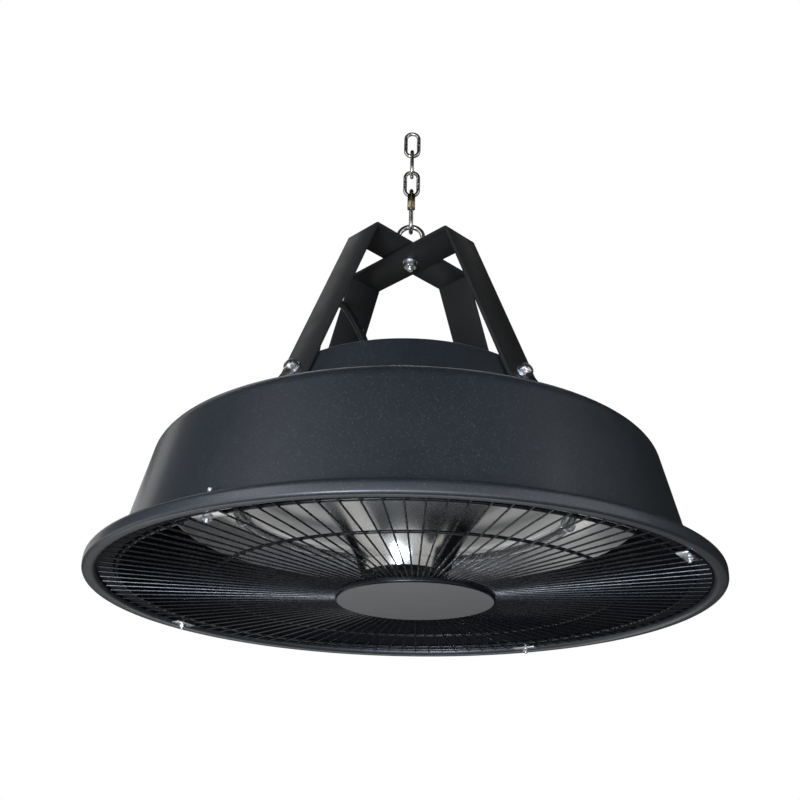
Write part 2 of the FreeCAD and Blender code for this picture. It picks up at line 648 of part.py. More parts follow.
def lamp_end_angles():
    """Directions of the lamp's two ends, either side of the front."""
    half = measure("ring_opening") / 2
    return (-90 - half, -90 + half)


def lamp_end_spots(level):
    """Places of the ceramic ends: X outwards, Y along the ring, on the gap's side of each end."""
    into_gap = math.degrees(measure(f"(end_length / 2 + end_gap) / {RING_RADIUS}"))
    first, second = lamp_end_angles()
    return round_about(measure(RING_RADIUS), measure(level), (first + into_gap, second - into_gap))


def lamp():
    """The ring lamp: quartz tube, carbon strand, ceramic ends, wire clips and leads."""
    start = lamp_end_angles()[1]
    sweep = "360 - ring_opening"

    def ring(radius):
        return solid("Torus", z="ring_level", axis=(0, 0, 1), angle=start, Radius1=RING_RADIUS,
                     Radius2=radius, Angle3=sweep)

    finish(cut(ring("tube_radius"), ring("tube_radius - tube_wall")), "quartz_tube")
    finish(ring("strand_radius"), "carbon_strand", z=f"{RIM} + ring_level", axis=(0, 0, 1), angle=start)
    end_foot = "(ring_level - end_width / 2)"
    end = solid("Box", x="-end_width / 2", y="-end_length / 2", z=end_foot, Length="end_width",
                Width="end_length", Height=f"pan_level - end_gap - {end_foot}")
    finish_group("lamp_ends", copies(end, lamp_end_spots("0")))
    loop_radius = "(tube_radius + clip_gap + clip_wire / 2)"
    loop = solid("Torus", z="ring_level", axis=(1, 0, 0), angle=90, Radius1=loop_radius,
                 Radius2="clip_wire / 2")
    stem = solid("Cylinder", z=f"ring_level + {loop_radius}", Radius="clip_wire / 2",
                 Height=f"pan_level - end_gap - ring_level - {loop_radius}")
    clip = fuse(loop, stem)
    finish_group("lamp_clips", copies(clip, round_about(measure(RING_RADIUS), 0, (8, 90, 172))))
    block_foot = "(cap_top_level - sheet - block_height)"
    block_y = "(-block_width - crown_radius / 4)"
    finish(solid("Box", Length="block_length", Width="block_width", Height="block_height"),
           "terminal_block", x="-block_length / 4", y=block_y, z=f"{RIM} + {block_foot}")
    leads = []
    for spot, way in zip(lamp_end_spots("pan_level - end_gap"), (-1, 1)):
        inlet = Vector(measure(f"block_length * (0.25 + {way} * 0.2)"),
                       measure(f"{block_y} + block_width / 2"), measure(f"{block_foot} - end_gap"))
        bend = measure("crown_level - shoulder_level")
        low = spot.Base + Vector(0, 0, bend / 2)
        near = Vector(inlet.x, (inlet.y + low.y) / 2, low.z + bend / 2)
        high = Vector(inlet.x, inlet.y, inlet.z - bend / 2)
        leads.append(tube([spot.Base, low, near, high, inlet], measure("lead_diameter"))[0])
    finish_group("lamp_leads", leads)


def guard():
    """The welded guard: radial wires on a round plate, a ring on their upper side and one near the edge."""
    count = int(measure("wire_count"))
    shift = measure("guard_shift")
    inner = Vector(measure("wire_inner_radius"), 0, measure("wire_inner_level"))
    lean = Vector(1, 0, measure(WIRE_SLOPE))
    wires = []
    for index in range(count):
        angle = 2 * math.pi * index / count
        # From the hub, which is off the middle, out to the round edge
        reach = math.sqrt(measure(WIRE_END) ** 2 - (shift * math.sin(angle)) ** 2) - shift * math.cos(angle)
        spoke = Part.makeCylinder(measure("wire_diameter") / 2, (reach - inner.x) * lean.Length, inner, lean)
        spoke.rotate(Vector(), Vector(0, 0, 1), math.degrees(angle))
        wires.append(spoke)
    finish_group("guard_wires", wires, x="guard_shift")
    # The middle ring is round about the hub and the outer one about the dish
    for label, radius, thickness, shift_to, furthest in (
        ("guard_mid_ring", "mid_ring_radius", "mid_ring_wire", "guard_shift", "mid_ring_radius"),
        ("guard_outer_ring", OUTER_RING, "outer_ring_wire", "0", f"({OUTER_RING} + guard_shift)"),
    ):
        on_wires = f"wire_inner_level + ({furthest} - wire_inner_radius) * {WIRE_SLOPE}"
        level = f"{on_wires} + wire_diameter / 2 + {thickness} / 2 + weld_gap"
        ring = solid("Torus", Radius1=radius, Radius2=f"{thickness} / 2")
        finish(ring, label, x=shift_to, z=f"{RIM} + {level}")
    plate = [
        ("0", "0"),
        ("disc_radius", "0"),
        ("disc_radius", "disc_depth"),
        ("disc_radius - disc_sheet", "disc_depth"),
        ("disc_radius - disc_sheet", "disc_sheet"),
        ("0", "disc_sheet"),
    ]
    disc = turned("guard_disc", plate, [((1,), "disc_round"), ((4,), "disc_round - disc_sheet")])
    finish(disc, "guard_disc", x="guard_shift",
           z=f"{RIM} + wire_inner_level - wire_diameter / 2 - weld_gap - disc_depth")


def rim_clip_angles():
    """The four rim clips stand about a quarter turn apart, each midway between two guard wires."""
    gap = 2 * math.pi / measure("wire_count")
    off_middle = measure(f"guard_shift / {RIM_SCREW_CIRCLE}")
    angles = []
    for quarter in CROSS:
        wanted = math.radians(measure("clip_angle") + quarter)
        from_hub = math.atan2(math.sin(wanted), math.cos(wanted) - off_middle)
        from_hub = (math.floor(from_hub / gap) + 0.5) * gap
        angles.append(math.degrees(from_hub - math.asin(off_middle * math.sin(from_hub))))
    return angles


def rim_clips():
    """Strips that carry the guard's edge, each on one screw with a spacer and a nut on the flange."""
    strip_foot = f"({RIM_CLIP_TOP} - rim_clip_sheet)"
    hole = "rim_screw_diameter / 2 + bolt_gap"
    strip = cut(solid("Box", x="-rim_clip_inset - rim_clip_width / 2",
                      y="-rim_clip_length / 2", z=strip_foot, Length="rim_clip_width",
                      Width="rim_clip_length", Height="rim_clip_sheet"),
                solid("Cylinder", z=strip_foot, Radius=hole, Height="rim_clip_sheet"))
    head = solid("Cylinder", z=f"{strip_foot} - rim_head_height", Radius="rim_head_radius",
                 Height="rim_head_height")
    screw = fuse(head, solid("Cylinder", z=strip_foot, Radius="rim_screw_diameter / 2",
                             Height="rim_screw_length"))
    spacer_height = f"flange_level - sheet - {RIM_CLIP_TOP}"
    spacer = cut(solid("Cylinder", z=RIM_CLIP_TOP, Radius="rim_spacer_radius", Height=spacer_height),
                 solid("Cylinder", z=RIM_CLIP_TOP, Radius=hole, Height=spacer_height))
    nut = cut(hexagon("rim_nut_across", "rim_nut_height", z="flange_level"),
              solid("Cylinder", z="flange_level", Radius="rim_screw_diameter / 2 + thread_gap",
                    Height="rim_nut_height"))
    spots = round_about(measure(RIM_SCREW_CIRCLE), 0, rim_clip_angles())
    finish_group("rim_clips", copies(strip, spots))
    finish_group("rim_clip_screws", copies(screw, spots))
    finish_group("rim_clip_spacers", copies(spacer, spots))
    finish_group("rim_clip_nuts", copies(nut, spots))


def gland():
    """The cable gland on the cap's top: threaded body, cap nut with a rubber sleeve, and locknut below."""
    bore = "cord_diameter / 2 + cord_gap"
    seat = "(gland_base + gland_nut_height)"
    body = cut(fuse(hexagon("gland_across", "gland_base"),
                    solid("Cylinder", z="-gland_depth", Radius="gland_radius",
                          Height="gland_depth + gland_base / 2")),
               solid("Cylinder", z="-gland_depth", Radius=bore, Height="gland_depth + gland_base"))
    place_on = dict(x="gland_x", y="gland_y", z=f"{RIM} + cap_top_level")
    finish(body, "gland_body", **place_on)
    nut = cut(solid("Cone", z="gland_base", Radius1="gland_across / 2", Radius2="gland_radius",
                    Height="gland_nut_height"),
              solid("Cylinder", z="gland_base", Radius=bore, Height="gland_nut_height"))
    finish(nut, "gland_nut", **place_on)
    boot = cut(solid("Cone", z=seat, Radius1="gland_radius - cord_diameter / 6",
                     Radius2="cord_diameter / 2 + cord_diameter / 6", Height="gland_boot"),
               solid("Cylinder", z=seat, Radius=bore, Height="gland_boot"))
    finish(boot, "gland_boot", **place_on)
    locknut = cut(hexagon("gland_across", "locknut_height", z="-sheet - locknut_height"),
                  solid("Cylinder", z="-sheet - locknut_height", Radius="gland_radius + thread_gap",
                        Height="locknut_height"))
    finish(locknut, "gland_locknut", **place_on)


def swept(edges, diameter):
    """A round tube along a path of joined edges, and the path's length."""
    path = Part.Wire(edges)
    start = path.Edges[0]
    spot = start.valueAt(start.FirstParameter)
    tangent = start.tangentAt(start.FirstParameter)
    section = Part.Wire([Part.makeCircle(diameter / 2, spot, tangent)])
    pipe = path.makePipeShell([section], True, False)
    area = math.pi * diameter ** 2 / 4
    print(f"tube {path.Length:.1f} mm long, volume over section times length "
          f"{pipe.Volume / (area * path.Length):.4f}")
    return pipe, path.Length


def tube(points, diameter):
    """A tube along straight runs joined by tangent arcs as large as the runs allow."""
    corners = []
    for before, here, after in zip(points, points[1:], points[2:]):
        way_in = (here - before).normalize()
        way_out = (after - here).normalize()
        half_turn = way_in.getAngle(way_out) / 2
        run = min((here - before).Length, (after - here).Length)
        reach = ARC_SHARE * run
        radius = reach / math.tan(half_turn)
        middle = (way_out - way_in).normalize() * (radius / math.cos(half_turn) - radius)
        corners.append((here - way_in * reach, here + middle, here + way_out * reach))
        print(f"bend of {radius:.1f} mm radius, {math.degrees(2 * half_turn):.0f} degrees")
    edges = []
    spot = points[0]
    for start, middle, end in corners:
        edges.append(Part.LineSegment(spot, start).toShape())
        edges.append(Part.Arc(start, middle, end).toShape())
        spot = end
    edges.append(Part.LineSegment(spot, points[-1]).toShape())
    return swept(edges, diameter)


def biarc(start, way_in, end, way_out):
    """Two arcs from start to end that leave and arrive in the given directions."""
    span = end - start
    both = way_in + way_out
    bend = 2 * way_in.dot(way_out) - 2
    along = span.dot(both)
    reach = (along - math.sqrt(along ** 2 - bend * span.dot(span))) / bend
    first, second = start + way_in * reach, end - way_out * reach
    joint = (first + second) / 2
    edges = []
    for near, corner, far in ((start, first, joint), (joint, second, end)):
        half = (far - near).Length / 2
        middle = (near + far) / 2
        rise = (corner - middle).Length
        radius = reach * half / rise
        top = middle + (corner - middle) * ((radius - math.sqrt(radius ** 2 - half ** 2)) / rise)
        edges.append(Part.Arc(near, top, far).toShape())
    return edges


def coil_point(turns):
    """Where the coil's cord lies after some turns, from the high layer's outside to the low one's."""
    spiral = measure("coil_turns")
    drop = measure("layer_pitch")
    middle = Vector(measure("coil_x"), measure("coil_y"), 0)
    fallen = min(max(turns - spiral, 0), 0.5)
    inward = min(turns, spiral, 2 * spiral + 0.5 - turns)
    radius = measure("coil_radius") - measure("turn_pitch") * inward
    level = measure(COIL_HIGH) - drop * (1 - math.cos(2 * math.pi * fallen)) / 2
    angle = 2 * math.pi * turns
    return middle + Vector(radius * math.sin(angle), radius * math.cos(angle), level)


def self_gap(points, diameter):
    """The least gap between turns of a wound tube, measured on points of its path."""
    least = math.inf
    far_along = 8 * diameter
    travelled = [0]
    for near, far in zip(points, points[1:]):
        travelled.append(travelled[-1] + near.distanceToPoint(far))
    for index, spot in enumerate(points):
        for other in range(index + 1, len(points)):
            if travelled[other] - travelled[index] > far_along:
                least = min(least, spot.distanceToPoint(points[other]))
    return least - diameter


def cord():
    """The power cord: its free stretch, its coil on the cap, the tie, the plug and its pins."""
    diameter = measure("cord_diameter")
    free, free_length = tube([Vector(*spot) for spot in CORD_ROUTE], diameter)
    finish_group("power_cord", [free])

    total = 2 * measure("coil_turns") + 0.5
    fall = measure("coil_turns")
    steps = 8
    stations = [fall * step / steps for step in range(steps)]
    stations += [fall, fall + 0.25]
    stations += [fall + 0.5 + fall * step / steps for step in range(steps + 1)]
    small = 0.001
    spots = [coil_point(station) for station in stations]
    ways = []
    for station in stations:
        low, high = max(station - small, 0), min(station + small, total)
        ways.append((coil_point(high) - coil_point(low)).normalize())
    ways[0] = Vector(1, 0, 0)
    ways[-1] = Vector(0, -1, 0)
    edges = [Part.LineSegment(spots[0] - ways[0] * diameter, spots[0]).toShape()]
    for index in range(len(spots) - 1):
        edges += biarc(spots[index], ways[index], spots[index + 1], ways[index + 1])
    tail_end = spots[-1] + ways[-1] * measure("coil_tail")
    edges.append(Part.LineSegment(spots[-1], tail_end).toShape())
    coil, coil_length = swept(edges, diameter)
    finish_group("cord_coil", [coil])
    path_points = [point for edge in edges for point in edge.discretize(12)[:-1]]
    print(f"least gap between the coil's turns {self_gap(path_points, diameter):.2f} mm")
    print(f"cord {free_length + coil_length:.0f} mm long in all")

    near = "(coil_radius - (coil_turns - 0.125) * turn_pitch - cord_diameter / 2 - 2 * tie_gap)"
    far = "(coil_radius - turn_pitch / 2 + cord_diameter / 2 + 2 * tie_gap)"
    low = f"({COIL_LOW} - cord_diameter / 2 - tie_gap)"
    high = f"({COIL_HIGH} + cord_diameter / 2 + tie_gap)"
    tie = cut(solid("Box", x="-tie_width / 2", y=f"-{far} - tie_sheet", z=f"{low} - tie_sheet",
                    Length="tie_width", Width=f"{far} - {near} + 2 * tie_sheet",
                    Height=f"{high} - {low} + 2 * tie_sheet"),
              solid("Box", x="-tie_width", y=f"-{far}", z=low, Length="2 * tie_width",
                    Width=f"{far} - {near}", Height=f"{high} - {low}"))
    finish(tie, "coil_tie", x="coil_x", y="coil_y")

    plug_x = "(coil_x + coil_radius)"
    plug_y = "(coil_y - coil_tail - plug_boot - plug_radius)"
    plug_foot = "(cap_top_level + tie_gap)"
    points = [("0", "0"), ("plug_radius", "0"), ("plug_radius", "plug_height"), ("0", "plug_height")]
    puck = turned("plug_puck", points, [((1, 2), "plug_round")])
    place(puck, z=plug_foot)
    boot = solid("Cone", y="plug_radius / 2", z=COIL_LOW, axis=(1, 0, 0), angle=-90,
                 Radius1="plug_boot_radius", Radius2="(cord_diameter + plug_boot_radius) / 3",
                 Height="plug_radius / 2 + plug_boot")
    finish(fuse(puck, boot), "plug_body", x=plug_x, y=plug_y)
    pin = solid("Cylinder", z=f"{plug_foot} + plug_height", Radius="pin_diameter / 2", Height="pin_length")
    beside = [FreeCAD.Placement(Vector(measure(f"{plug_x} + {way} * pin_spacing / 2"), measure(plug_y), 0),
                                Rotation()) for way in (-1, 1)]
    finish_group("plug_pins", copies(pin, beside))


def write_parts():
    """Check every object and write each sub-part to its own file."""
    doc.recompute()
    for item in doc.Objects:
        if "Invalid" in item.State or "Error" in item.State:
            raise RuntimeError(f"{item.Label} failed: {item.State}")
    os.makedirs("parts", exist_ok=True)
    for item in NODES:
        if item.Shape.isNull() or not item.Shape.isValid() or not item.Shape.Solids:
            raise RuntimeError(f"{item.Label} has no valid shape")
        item.Shape.exportStep(os.path.join("parts", item.Label + ".step"))
    print(f"{len(NODES)} sub-parts written")


LINK_MIDDLE = "(link_wire - link_length / 2)"
chain_link("chain_link_top", LINK_MIDDLE, 0)
chain_link("chain_link_upper", f"{LINK_MIDDLE} - {LINK_STEP}", 90)
chain_link("chain_link_lower", f"{LINK_MIDDLE} - 2 * {LINK_STEP}", 0)
quick_link()
eye_bolt()
strap("strap_lower", "bracket_level", -45)
strap("strap_upper", "(bracket_level + strap_thickness)", 45)
leg_fasteners()
top_cap()
cap_fasteners()
dish()
reflector()
lamp()
guard()
rim_clips()
gland()
cord()
write_parts()
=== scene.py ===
"""Hanging patio heater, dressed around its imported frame.

Each operator makes one piece or one group of like pieces, in metres and in the frame's own axes: the origin
is the ceiling hook's seat in the top chain link, Z is up, and the side that is seen first faces -Y.
"""

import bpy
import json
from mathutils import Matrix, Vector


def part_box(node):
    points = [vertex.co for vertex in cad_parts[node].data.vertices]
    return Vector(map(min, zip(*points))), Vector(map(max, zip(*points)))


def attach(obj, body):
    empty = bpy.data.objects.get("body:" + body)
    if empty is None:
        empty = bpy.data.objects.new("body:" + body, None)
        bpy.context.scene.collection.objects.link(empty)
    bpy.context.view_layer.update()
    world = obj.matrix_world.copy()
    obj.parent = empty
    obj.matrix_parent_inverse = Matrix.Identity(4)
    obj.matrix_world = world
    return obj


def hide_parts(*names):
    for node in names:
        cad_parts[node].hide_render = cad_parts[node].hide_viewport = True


bl_info = {
    "name": "Hanging Patio Heater",
    "version": (1, 0, 0),
    "blender": (4, 5, 0),
    "location": "3D View > Sidebar > Heater",
    "description": "Builds a hanging patio heater with its chain, bracket, lamp, guard and cord",
    "category": "Add Mesh",
}

import json
import math

import bmesh
import bpy
from mathutils import Matrix, Vector

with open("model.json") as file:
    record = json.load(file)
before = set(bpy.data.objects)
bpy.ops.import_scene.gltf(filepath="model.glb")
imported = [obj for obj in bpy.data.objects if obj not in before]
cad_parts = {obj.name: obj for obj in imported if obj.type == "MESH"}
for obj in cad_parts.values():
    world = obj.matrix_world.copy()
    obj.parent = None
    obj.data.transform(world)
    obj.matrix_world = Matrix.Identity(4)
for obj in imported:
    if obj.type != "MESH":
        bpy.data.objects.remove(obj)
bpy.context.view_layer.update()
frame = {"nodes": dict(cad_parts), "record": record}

MM = 0.001
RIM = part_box("dish")[0].z
CAP_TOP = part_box("top_cap")[1].z
LIFT = Matrix.Translation((0, 0, RIM))
QUARTER = math.pi / 2

# Faces that meet at less than this angle look like one, and points nearer than this distance are one
SMOOTH_ANGLE = math.radians(35)
SAME_POINT = 1e-7
# Share of half a link's width that rounds its ends without their arcs meeting
FULL_ROUND = 0.98

# Free stretch of the cord, from the gland to the coil: metres, with levels above the rim's underside
CORD_ROUTE = [
    (-0.041, -0.005, 0.249),
    (-0.041, -0.005, 0.268),
    (-0.072, 0.002, 0.334),
    (-0.090, 0.034, 0.352),
    (-0.107, 0.073, 0.333),
    (-0.115, 0.112, 0.300),
    (-0.088, 0.135, 0.262),
    (-0.042, 0.122, 0.2296),
    (0.003, 0.122, 0.2296),
]

# Camera: its place and nearest depth in metres, its turns in radians, its lens and sensor in millimetres
CAMERA_PLACE = (0, -1.003, RIM - 0.24518)
CAMERA_CLIP = 0.02
CAMERA_PAN, CAMERA_TILT, CAMERA_ROLL = -0.00824, 0.42977, 0.02163
CAMERA_LENS = 46.213
CAMERA_SENSOR = 36

# Studio, in metres: the floor, then each card's middle, what it faces, its width and its height
FLOOR_LEVEL = RIM - 1.7
FLOOR_HALF = 12
DARK_CARDS = {
    "top_card": ((0, -0.6, 1.6), (0, -0.6, -0.5), 4.4, 3.4),
    "front_card": ((0, -2.6, 0.9), (0, 0, -0.5), 3.4, 1.8),
    "right_card": ((2.0, 1.0, 0.7), (0, 0, -0.4), 3.6, 2.4),
    "left_card": ((-2.3, 0.2, 0.7), (0, 0, -0.4), 2.6, 2.2),
    "rear_card": ((-0.15, 1.9, RIM - 0.3), (0, 0, RIM - 0.3), 5.5, 1.4),
    "back_card": ((0.9, 2.6, 0.3), (0, 0, RIM + 0.2), 3.0, 1.5),
    "floor_card": ((0.55, -0.6, RIM - 1.69), (0.55, -0.6, 0), 5.5, 2.6),
    "side_card": ((3.0, 1.5, RIM - 1.68), (3.0, 1.5, 0), 4.0, 3.0),
    "left_wing": ((-0.95, 2.1, 0.95), (0, 0, -0.4), 1.4, 0.9),
    "right_wing": ((1.45, 1.9, 1.3), (0, 0, -0.4), 2.4, 1.6),
    "low_card": ((2.6, 0.6, RIM - 0.4), (0, 0, RIM - 0.2), 3.0, 1.15),
}
PALE_CARDS = {"bounce_card": ((-0.6, 2.5, RIM - 1.68), (-0.6, 2.5, 0), 2.2, 2.6)}
# Lamps are given in the same way, with their power in watts and their tint
LAMPS = {
    "key_light": ((-2.6, -2.2, 1.1), (0, 0, -0.45), 1.6, 1.6, 15, "#fdfcff"),
    "fill_light": ((2.6, -1.6, 0.2), (0, 0, -0.45), 1.8, 1.8, 2, "#f4f7ff"),
    "back_light": ((0.6, 2.8, 1.6), (0, 0, -0.4), 1.6, 1.6, 20, "#ffffff"),
    "front_light": ((-0.4, -2.4, -1.22), (0, 0, -0.5), 2.0, 0.3, 29, "#d3e4ff"),
    "low_light": ((-0.52, -1.5, -1.08), (0, -0.2, -0.53), 0.4, 0.4, 16, "#e6efff"),
}
# Glow of the floor where it is seen, and strength of the surround as light and where it is seen
FLOOR_GLOW = 0.3
SURROUND_LIGHT, SURROUND_SEEN = 0.4, 1.0


def length(name, millimetres, about):
    return bpy.props.FloatProperty(name=name, description=about, default=millimetres * MM, unit="LENGTH",
                                   precision=4)


def colour(name, value, about):
    return bpy.props.StringProperty(name=name, description=about + ", as an sRGB hex value", default=value)


class ShadeSizes(bpy.types.PropertyGroup):
    """Dish and cap, spun from sheet metal. Levels count up from the rim's underside."""

    rim_radius: length("Rim radius", 308, "Outside of the rolled rim")
    rim_height: length("Rim height", 14, "Rolled rim from bottom to top")
    rim_width: length("Rim width", 12.5, "Rolled rim from inside to outside")
    rim_round: length("Rim rounding", 3.4, "Rounding of the rolled rim's inner top")
    rim_bead: length("Rim bead", 6, "Rounding of the rolled rim's outer top")
    rim_foot: length("Rim foot", 3, "Rounding of the rolled rim's outer foot")
    rim_hem: length("Rim hem", 5, "Rounding of the rolled rim's inner foot")
    rim_slit: length("Rim slit", 2, "Slit where the roll ends")
    sheet: length("Sheet", 1.5, "Thickness of the sheet metal")
    flange_level: length("Flange level", 9, "Top of the flange inside the rim")
    flange_width: length("Flange width", 13.5, "Flange between wall and rim")
    wall_lean: length("Wall lean", 27.8, "From the wall's foot in to the shoulder")
    shoulder_level: length("Shoulder level", 131.2, "Where wall and top would meet")
    shoulder_round: length("Shoulder rounding", 20, "Rounding of the shoulder")
    crown_radius: length("Crown radius", 130, "Hole in the dish's top, under the cap")
    crown_level: length("Crown level", 166, "Dish's top at that hole")
    cap_level: length("Cap level", 214, "Top of the cap")
    cap_base: length("Cap base", 167.5, "Cap's radius where it meets the dish")
    cap_lean: length("Cap lean", 23.5, "From the cap's base in to its top edge")
    cap_lip: length("Cap lip", 20, "Inward lip at the cap's base")
    cap_round: length("Cap rounding", 4, "Rounding of the cap's top edge")
    cap_gap: length("Cap gap", 0.2, "Clearance between cap and dish")


class BracketSizes(bpy.types.PropertyGroup):
    """Two bent flat bars and their fasteners."""

    level: length("Bracket level", 389, "Underside of the lower bar at the crossing")
    width: length("Bar width", 45, "Width of the flat bars")
    thickness: length("Bar thickness", 4, "Thickness of the flat bars")
    gap: length("Leg gap", 0.2, "Clearance between leg and cap")
    bend: length("Inner bend", 1, "Inside radius of a bend")
    bolt_level: length("Bolt level", 193, "Where the leg bolts pass the cap's flank")
    foot: length("Foot", 14, "Leg below its bolt")
    foot_round: length("Foot rounding", 10, "Rounded corners of a leg's end")
    edge: length("Edge", 0.5, "Eased edges of the flat bars")
    nut_across: length("Nut", 13, "Nuts across their flats")
    nut_height: length("Nut height", 6.5, "Height of a nut's hexagon")
    dome: length("Dome", 3, "Dome of a cap nut")
    washer_radius: length("Washer radius", 8.5, "Outside of a washer")
    washer: length("Washer", 1.6, "Thickness of a washer")
    thread: length("Thread", 8, "Diameter of the bolts")


class ChainSizes(bpy.types.PropertyGroup):
    """Chain links, the screw link and the eye bolt."""

    wire: length("Link wire", 4.5, "Wire of a chain link")
    long: length("Link length", 38, "Chain link over its ends")
    wide: length("Link width", 20, "Chain link over its sides")
    quick_wire: length("Screw link bar", 5, "Bar of the screw link")
    quick_long: length("Screw link length", 60, "Screw link over its ends")
    quick_wide: length("Screw link width", 21, "Screw link over its sides")
    mouth: length("Mouth", 7, "Gap in the screw link's bar")
    mouth_rise: length("Mouth rise", 10.5, "Middle of the gap above the link's middle")
    sleeve_across: length("Sleeve", 9, "Sleeve across its flats")
    eye_outer: length("Eye", 34, "Eye ring over its outside")
    eye_wire: length("Eye bar", 6, "Bar of the eye ring")
    collar: length("Collar", 8, "Radius and height of the eye's collar")


class LampSizes(bpy.types.PropertyGroup):
    """Reflector and ring lamp."""

    sheet: length("Reflector sheet", 0.8, "Thickness of the reflector")
    pan_radius: length("Pan radius", 235, "Reflector's outer edge")
    pan_edge: length("Pan edge", 75, "Level of that edge")
    pan_flare: length("Pan flare", 23, "From the edge in to the flat ring")
    pan_level: length("Pan level", 110, "Reflector's flat ring")
    pan_round: length("Pan rounding", 28, "Roundings of the reflector")
    cone_radius: length("Cone radius", 100, "Top of the reflector's cone")
    cone_flare: bpy.props.FloatProperty(name="Cone flare", description="1 is a straight cone, more is a bell",
                                        default=1.35, min=1.0)
    hub_radius: length("Hub radius", 47, "Foot of the reflector's cone")
    hub_level: length("Hub level", 31, "Level of that foot")
    hub_floor: length("Hub floor", 21, "Underside of the hub cup")
    hub_floor_radius: length("Hub floor radius", 43, "Hub cup at its floor")
    ring_radius: length("Ring radius", 171, "Lamp ring, middle of its tube")
    ring_level: length("Ring level", 86, "Level of the lamp ring")
    tube: length("Tube", 6, "Outer radius of the quartz tube")
    wall: length("Tube wall", 1, "Wall of the quartz tube")
    strand: length("Strand", 4, "Radius over the carbon braid")
    yarn: length("Yarn", 0.55, "Radius of one yarn of the braid")
    twist: length("Twist", 12, "Length of one turn of a yarn")
    opening: bpy.props.FloatProperty(name="Opening", description="Gap between the lamp's ends",
                                     default=math.radians(14), subtype="ANGLE")


class GuardSizes(bpy.types.PropertyGroup):
    """Welded wire guard and the clips that carry it."""

    wires: bpy.props.IntProperty(name="Wires", description="Radial wires of the guard", default=109, min=8)
    clip_angle: bpy.props.FloatProperty(name="First clip", default=math.radians(58), subtype="ANGLE",
                                        description="First rim clip from +X, before it goes to a gap")
    wire: length("Wire", 1.7, "Diameter of a radial wire")
    inner: length("Inner radius", 75, "Where the wires start")
    outer: length("Outer radius", 293, "Round edge, about the dish's middle, where the wires end")
    inner_level: length("Inner level", 1.1, "Wire's middle at its inner end")
    outer_level: length("Outer level", 4.2, "Wire's middle at its outer end")
    mid_ring: length("Middle ring", 201, "Radius of the ring on the wires")
    mid_wire: length("Middle ring wire", 3, "Wire of that ring")
    edge_ring: length("Edge ring", 277, "Radius of the ring near the edge")
    edge_wire: length("Edge ring wire", 3.5, "Wire of that ring")
    disc: length("Disc", 79, "Radius of the middle plate")
    disc_depth: length("Disc depth", 4.9, "Depth of the plate's edge")
    disc_sheet: length("Disc sheet", 1.2, "Thickness of the plate")
    shift: length("Shift", 11, "How far the guard's hub lies to +X")
    clip_long: length("Clip length", 28, "Rim clip along the rim")
    clip_wide: length("Clip width", 11, "Rim clip across the rim")
    clip_radius: length("Clip circle", 286.5, "Middle of a rim clip")
    screw_radius: length("Screw circle", 288.5, "Circle of the clips' screws")
    screw: length("Screw", 2, "Radius of a clip's screw")
    screw_washer: length("Screw washer", 4.4, "Radius of the washer under a clip")
    screw_nut: length("Screw nut", 7, "Nuts on the screws across their flats")
    nut_chamfer: length("Nut chamfer", 0.4, "Chamfer of those nuts")


class CordSizes(bpy.types.PropertyGroup):
    """Power cord, its gland, coil and plug."""

    diameter: length("Cord", 9, "Diameter of the cord")
    coil_x: length("Coil X", 12, "Middle of the coil")
    coil_y: length("Coil Y", 62, "Middle of the coil")
    coil_radius: length("Coil radius", 60, "Outermost turn")
    turn_pitch: length("Turn pitch", 11, "From turn to turn")
    layer_pitch: length("Layer pitch", 9.8, "From layer to layer")
    high: length("High layer", 229.6, "Level of the upper layer")
    tail: length("Tail", 30, "Straight end towards the plug")
    turns: bpy.props.FloatProperty(name="Turns", description="Turns of each layer", default=1.875)
    gland: length("Gland", 24, "Gland's hexagon across its flats")
    gland_thread: length("Gland thread", 10, "Radius of the gland in the cap")
    gland_bore: length("Gland bore", 4.6, "Radius of the gland's hole")
    boot: length("Sleeve", 8.4, "Radius of the rubber sleeve at its foot")
    boot_taper: length("Sleeve taper", 2.5, "From that radius in to the sleeve's top")


class Finishes(bpy.types.PropertyGroup):
    """Colours of the painted, moulded and metal surfaces."""

    shade: colour("Shade", "#1a2025", "Powder coat of dish and cap")
    fleck: colour("Fleck", "#8d979d", "Metal flecks in that coat")
    bracket: colour("Bracket", "#252524", "Satin paint of the flat bars")
    guard: colour("Guard", "#0b0c0e", "Coating of the guard wires")
    # Painted shade: this near-black tone stands for the dark inside of the dish
    painted_inside_shade: colour("Lining", "#0d0e10", "Matt spray inside the dish")
    disc: colour("Disc", "#666664", "Matt coat of the guard's plate")
    steel: colour("Polished steel", "#cfccc7", "Chain and eye bolt")
    sleeve: colour("Sleeve", "#867a63", "Screw link's sleeve")
    zinc: colour("Zinc", "#d3d4d3", "Plated fasteners")
    mirror: colour("Reflector", "#e4e4e1", "Spun aluminium reflector")
    glass: colour("Glass", "#f6f8fa", "Quartz tube of the lamp")
    carbon: colour("Carbon", "#151517", "Carbon braid of the lamp")
    ceramic: colour("Ceramic", "#dcd6c8", "Steatite lamp ends")
    lead: colour("Lead", "#c9c3b4", "Sleeving on the lamp's leads")
    rubber: colour("Rubber", "#141414", "Jacket of the cord")
    plastic: colour("Plastic", "#161616", "Gland and tie")
    nickel: colour("Nickel", "#cfc9ba", "Plug pins")


# Mesh helpers


def place_mesh(name, mesh):
    """An object at the origin for a mesh."""
    mesh.name = name
    mesh.shade_smooth()
    mesh.set_sharp_from_angle(angle=SMOOTH_ANGLE)
    item = bpy.data.objects.new(name, mesh)
    bpy.context.scene.collection.objects.link(item)
    return item


def from_bmesh(name, bm, outward=True):
    if outward:
        bmesh.ops.recalc_face_normals(bm, faces=bm.faces)
    mesh = bpy.data.meshes.new(name)
    bm.to_mesh(mesh)
    bm.free()
    return place_mesh(name, mesh)


def around(steps):
    """Angles of a full turn in equal steps."""
    return [2 * math.pi * step / steps for step in range(steps)]


